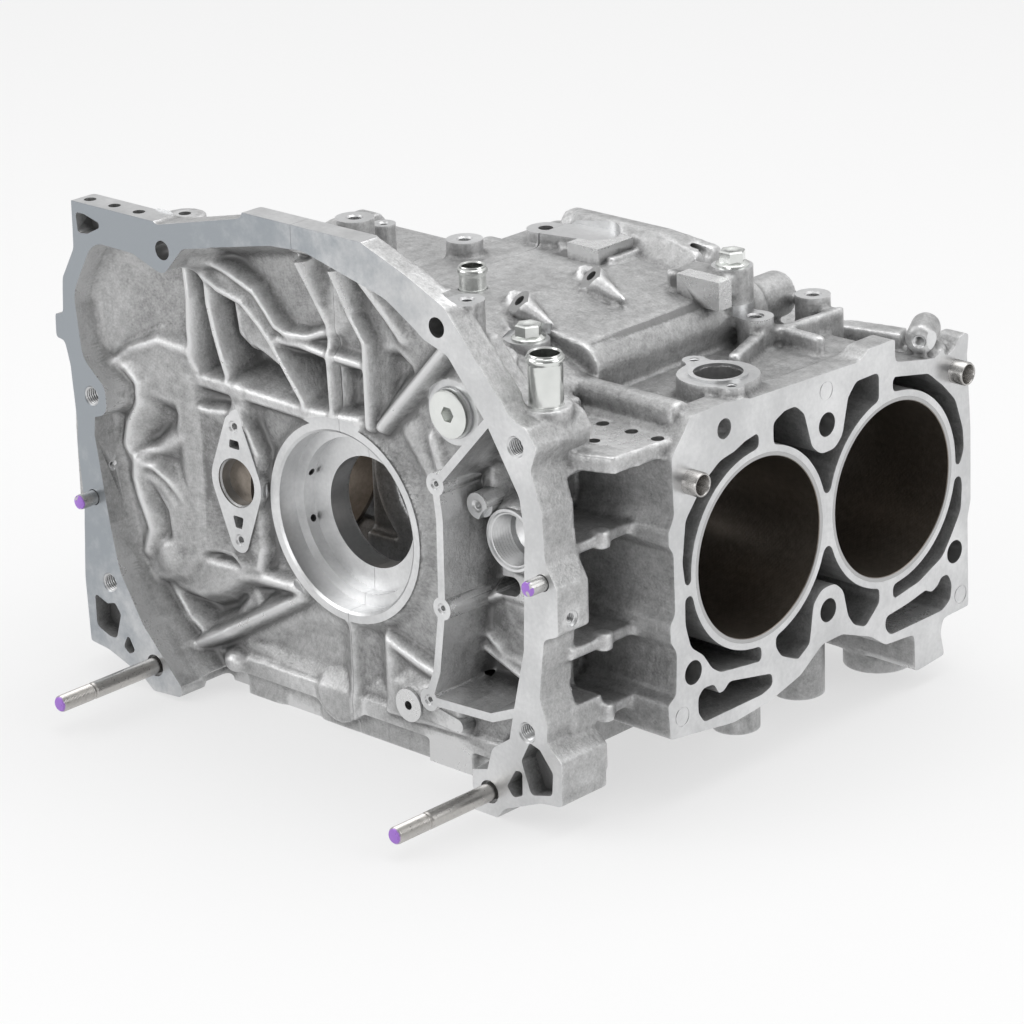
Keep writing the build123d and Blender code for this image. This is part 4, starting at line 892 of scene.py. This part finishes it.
def dressed(name, node, mesh, sharp=35):
    """A finished visual piece in place of a CAD node: smooth but for its sharp edges."""
    mesh.polygons.foreach_set("use_smooth", [True] * len(mesh.polygons))
    work = bmesh.new()
    work.from_mesh(mesh)
    for edge in work.edges:
        edge.smooth = edge.calc_face_angle(0) < radians(sharp)
    work.to_mesh(mesh)
    work.free()
    made = mesh_object(name, mesh)
    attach(made, "root")
    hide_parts(node)
    return made


bore = 99.5
liner_length = 125.0
for number, (side, y) in enumerate([(way, y) for way in (1, -1) for y in cylinder_ys[way]], 1):
    start = at(side * (deck - liner_length + 0.05), y, 0)
    profile = [(bore / 2, 0), (liner_d / 2 - 0.05, 0), (liner_d / 2 - 0.05, liner_length - 0.05),
               (bore / 2 + 0.5, liner_length - 0.05), (bore / 2, liner_length - 0.6)]
    mesh = solid_mesh("liner", [lathe(start, (side, 0, 0), profile, 128, True)], liner_material)
    spin = mesh.attributes.new("round_bore", "FLOAT", "POINT")
    _, across_y, across_z = (corners(mesh) + (0, (seal_face - y) / 1000, 0)).T
    spin.data.foreach_set("value", pi - np.abs(np.arctan2(across_z, across_y)))
    dressed(f"liner_{number}", f"cylinder_liner_{number}", mesh)


# Studs and dowels for the gearbox: turned steel, pressed or screwed into the flange. Their tips carry a
# dab of violet paint. The studs end in a rolled thread.
def painted_steel(name, tip_y, colour, bare):
    made, tree, where = new_material(name)
    marks = noise(where, 500.0, 3.0)
    turned = add_node(tree, "ShaderNodeTexWave", {"bands_direction": "Y"},
                      {"Vector": where, "Scale": 900.0, "Distortion": 1.0})
    dab = (where.part(1) * -1000 - seal_face + noise(where, 260.0) * 1.4).ramp(tip_y, tip_y + 0.8)
    dab = dab * noise(where, 150.0, 2.0).ramp(bare, bare + 0.05)
    base = dab.mixed(marks.mixed(grey(0.42, -0.02), colour), (0.36, 0.17, 0.62, 1))
    close_material(tree, {"Base Color": base, "Metallic": 1 - dab * 0.9, "Roughness": marks * 0.15 + 0.22,
                          "Normal": bumped(turned + marks, 0.00002, 0.5)})
    return made


stud_d, stud_proud, stud_thread = 9.8, 72.4, 25.6
stud_material = painted_steel("stud_steel", stud_proud - 0.6, (0.62, 0.60, 0.57, 1), 0.2)
profile = [(2.6, -stud_proud), (3.7, -stud_proud + 0.2), (4.6, -stud_proud + 1.2)]
for turn_number in range(int(stud_thread - 3)):
    profile += [(4.15, -stud_proud + 1.6 + turn_number), (4.8, -stud_proud + 2.1 + turn_number)]
profile += [(4.2, -stud_proud + stud_thread - 0.8), (stud_d / 2, -stud_proud + stud_thread), (stud_d / 2, 0),
            (4.7, 0.1), (4.7, 24)]
for word, x, z in (("left", -130.5, -108.5), ("right", 130.5, -112.5)):
    mesh = solid_mesh("stud", [lathe(at(x, 0, z), inward, profile, 32)], stud_material)
    dressed(f"stud_{word}", f"stud_lower_{word}", mesh)
dowel_proud = 11.7
dowel_material = painted_steel("dowel_steel", dowel_proud - 1.0, (0.66, 0.66, 0.65, 1), 0.44)
profile = [(2.9, -dowel_proud), (4.0, -dowel_proud + 0.5), (4.3, -dowel_proud + 1.6), (4.3, 0), (4.1, 0.1), (4.1, 14)]
for word, x, z in (("left", -173.5, -16.5), ("right", 173.5, 16.5)):
    mesh = solid_mesh("dowel", [lathe(at(x, 0, z), inward, profile, 36)], dowel_material)
    dressed(f"dowel_{word}", f"gearbox_dowel_{word}", mesh)

# Hollow dowels that centre the cylinder heads round their bolts, and the pins between the case halves: plain
# ground steel, pushed into their holes.
ground_material, tree, where = new_material("ground_steel")
marks = noise(where, 700.0, 3.0)
film = noise(where, 90.0, 3.0)
close_material(tree, {"Base Color": film.mixed(grey(0.36, -0.03), grey(0.56, -0.02)), "Metallic": 1.0,
                      "Roughness": marks * 0.16 + 0.2, "Normal": bumped(marks, 0.00002, 0.5)})
sleeve_proud = 9.0
for side, word in ((1, "right"), (-1, "left")):
    for number, way in enumerate((-1, 1), 1):
        spot = at(side * deck, bank_mid[side] + side * way * 112, 53.5)
        profile = [(5.25, -13), (6.75, -13), (6.75, sleeve_proud - 1), (6.2, sleeve_proud), (5.6, sleeve_proud),
                   (5.25, sleeve_proud - 0.5)]
        mesh = solid_mesh("sleeve", [lathe(spot, (side, 0, 0), profile, 40, True)], ground_material)
        dressed(f"head_dowel_{word}_{number}_look", f"head_dowel_{word}_{number}", mesh)

for number, (y, z) in enumerate(((55.25, -53), (281.25, 53)), 1):
    profile = [(5.2, -8.5), (5.95, -7.8), (5.95, 7.8), (5.2, 8.5)]
    dressed(f"pin_{number}", f"case_pin_{number}",
            solid_mesh("pin", [lathe(at(0, y, z), (1, 0, 0), profile, 32)], ground_material))

# Hose nipples: drawn steel tube with a rolled bead near the mouth, zinc plated, pressed into the casting.
zinc_material, tree, where = new_material("zinc_plate")
marks = noise(where, 420.0, 3.0)
film = noise(where, 70.0, 3.0, 0.6)
close_material(tree, {"Base Color": film.mixed((0.62, 0.64, 0.62, 1), (0.86, 0.87, 0.85, 1)), "Metallic": 1.0,
                      "Roughness": marks * 0.12 + 0.14, "Normal": bumped(marks + film, 0.00003, 0.5)})
for word, spot, d, rise in (("small", (22, 113, 117), 15.0, 13.0), ("large", (155, 27, 102), 18.5, 28.0)):
    r = d / 2
    profile = [(r - 1.6, -9), (r + 0.2, -9), (r + 0.2, 0), (r, 0.1), (r, 0.8), (r, rise - 6.4), (r, rise - 5.6),
               (r + 0.5, rise - 4.8), (r + 1, rise - 3.6), (r + 1, rise - 2.6), (r + 0.4, rise - 1.6),
               (r - 0.1, rise - 1.2), (r - 0.2, rise - 0.5), (r - 0.6, rise), (r - 1.1, rise - 0.1),
               (r - 1.6, rise - 0.8)]
    mesh = solid_mesh("nipple", [lathe(at(*spot), upward, profile, 48, True)], zinc_material)
    dressed(f"nipple_{word}", f"hose_nipple_{word}", mesh)

# Bolts: zinc-plated steel, a hexagon head forged with its round flange and a dished top. Two stand on the
# top of the block as plugs, three go across the joint into the other half. All come from one node tree.
bolt_tree = bpy.data.node_groups.new("flange_bolt", "GeometryNodeTree")
bolt_tree.interface.new_socket("Geometry", in_out="OUTPUT", socket_type="NodeSocketGeometry")
for word in ("Across", "Head", "Flange", "Shank", "Length"):
    bolt_tree.interface.new_socket(word, in_out="INPUT", socket_type="NodeSocketFloat")
given = bolt_tree.nodes.new("NodeGroupInput")
across, head, flange, shank, length = [Wire(bolt_tree, socket) for socket in list(given.outputs)[:5]]


def frustum(sides, low, high, base, height):
    """A round or many-sided piece that stands at a height and may narrow upwards."""
    cone = add_node(bolt_tree, "GeometryNodeMeshCone", {},
                    {"Vertices": sides, "Radius Bottom": low, "Radius Top": high, "Depth": height})
    lift = add_node(bolt_tree, "ShaderNodeCombineXYZ", {}, {"Z": base})
    return add_node(bolt_tree, "GeometryNodeTransform", {}, {"Geometry": cone, "Translation": lift})


corner = across * (1 / 3 ** 0.5)
straight = frustum(6, corner, corner, flange * 0.06, head - flange * 0.06 - 0.0007)
crown = frustum(6, corner, corner - 0.0008, head - 0.0007, 0.0007)
dish = frustum(24, across * 0.2, across * 0.34, head - 0.0006, 0.001)
crown = add_node(bolt_tree, "GeometryNodeMeshBoolean", {"operation": "DIFFERENCE"}, {"Mesh 1": crown, "Mesh 2": dish})
disc = frustum(48, flange * 0.5, flange * 0.49, 0.0, 0.0012)
skirt = frustum(48, flange * 0.49, across * 0.53, 0.0012, 0.0014)
pin = frustum(24, shank * 0.46, shank * 0.5, length * -1, length)
together = bolt_tree.nodes.new("GeometryNodeJoinGeometry")
for piece in (straight, crown, disc, skirt, pin):
    bolt_tree.links.new(piece.socket, together.inputs[0])
real = add_node(bolt_tree, "GeometryNodeRealizeInstances", {}, {"Geometry": Wire(bolt_tree, together.outputs[0])})
real = add_node(bolt_tree, "GeometryNodeSetMaterial", {}, {"Geometry": real, "Material": zinc_material})
add_node(bolt_tree, "NodeGroupOutput", {}, {"Geometry": real})
plug_bolt = {"Across": 0.013, "Head": 0.0085, "Flange": 0.019, "Shank": 0.0079, "Length": 0.016}
case_bolt = {"Across": 0.012, "Head": 0.008, "Flange": 0.016, "Shank": 0.0079, "Length": 0.076}
bolts = [("flange_bolt_rear", (92, 82, 110), upward, plug_bolt),
         ("flange_bolt_front", (122, 213, 124), upward, plug_bolt)]
bolts += [(f"case_bolt_upper_{i}", (-64, 55.25 + 56.5 * i, 90), (-1, 0, 0), case_bolt) for i in (1, 2, 3)]
for node, spot, axis, sizes in bolts:
    maker = mesh_object("bolt", bpy.data.meshes.new("bolt"))
    step = maker.modifiers.new("bolt", "NODES")
    step.node_group = bolt_tree
    for socket in bolt_tree.interface.items_tree:
        if socket.in_out == "INPUT":
            step[socket.identifier] = sizes[socket.name]
    mesh = evaluated(maker)
    bpy.data.objects.remove(maker)
    upright = Vector(upward).rotation_difference(Vector(axis)).to_matrix().to_4x4()
    mesh.transform(Matrix.Translation(at(*spot)) @ upright)
    dressed(node + "_look", node, mesh)

# Service plug: a flat zinc-plated head with a hexagon socket, on an aluminium sealing washer.
plug = [lathe(at(82, 28.5, 80), inward, [(12.2, 0), (13.2, 0.3), (13.5, 1.0), (13.5, 3.2), (10, 3.2), (10, 17)], 56)]
body = mesh_object("plug_body", solid_mesh("plug", plug, zinc_material))
hexagon = [(82 + 4.6 * cos(i * pi / 3), 80 + 4.6 * sin(i * pi / 3)) for i in range(6)]
combined(body, solid_mesh("socket", [prism(hexagon, 1, 27, 34)], zinc_material), "DIFFERENCE")
dressed("plug", "service_plug", body.data)
bpy.data.objects.remove(body)
profile = [(10.6, 3.25), (13.9, 3.25), (14.2, 3.6), (14.2, 4.5), (13.9, 4.78), (10.6, 4.78)]
washer = solid_mesh("washer", [lathe(at(82, 28.5, 80), inward, profile, 56, True)], machined_material)
dressed("plug_washer", "service_plug_washer", washer)
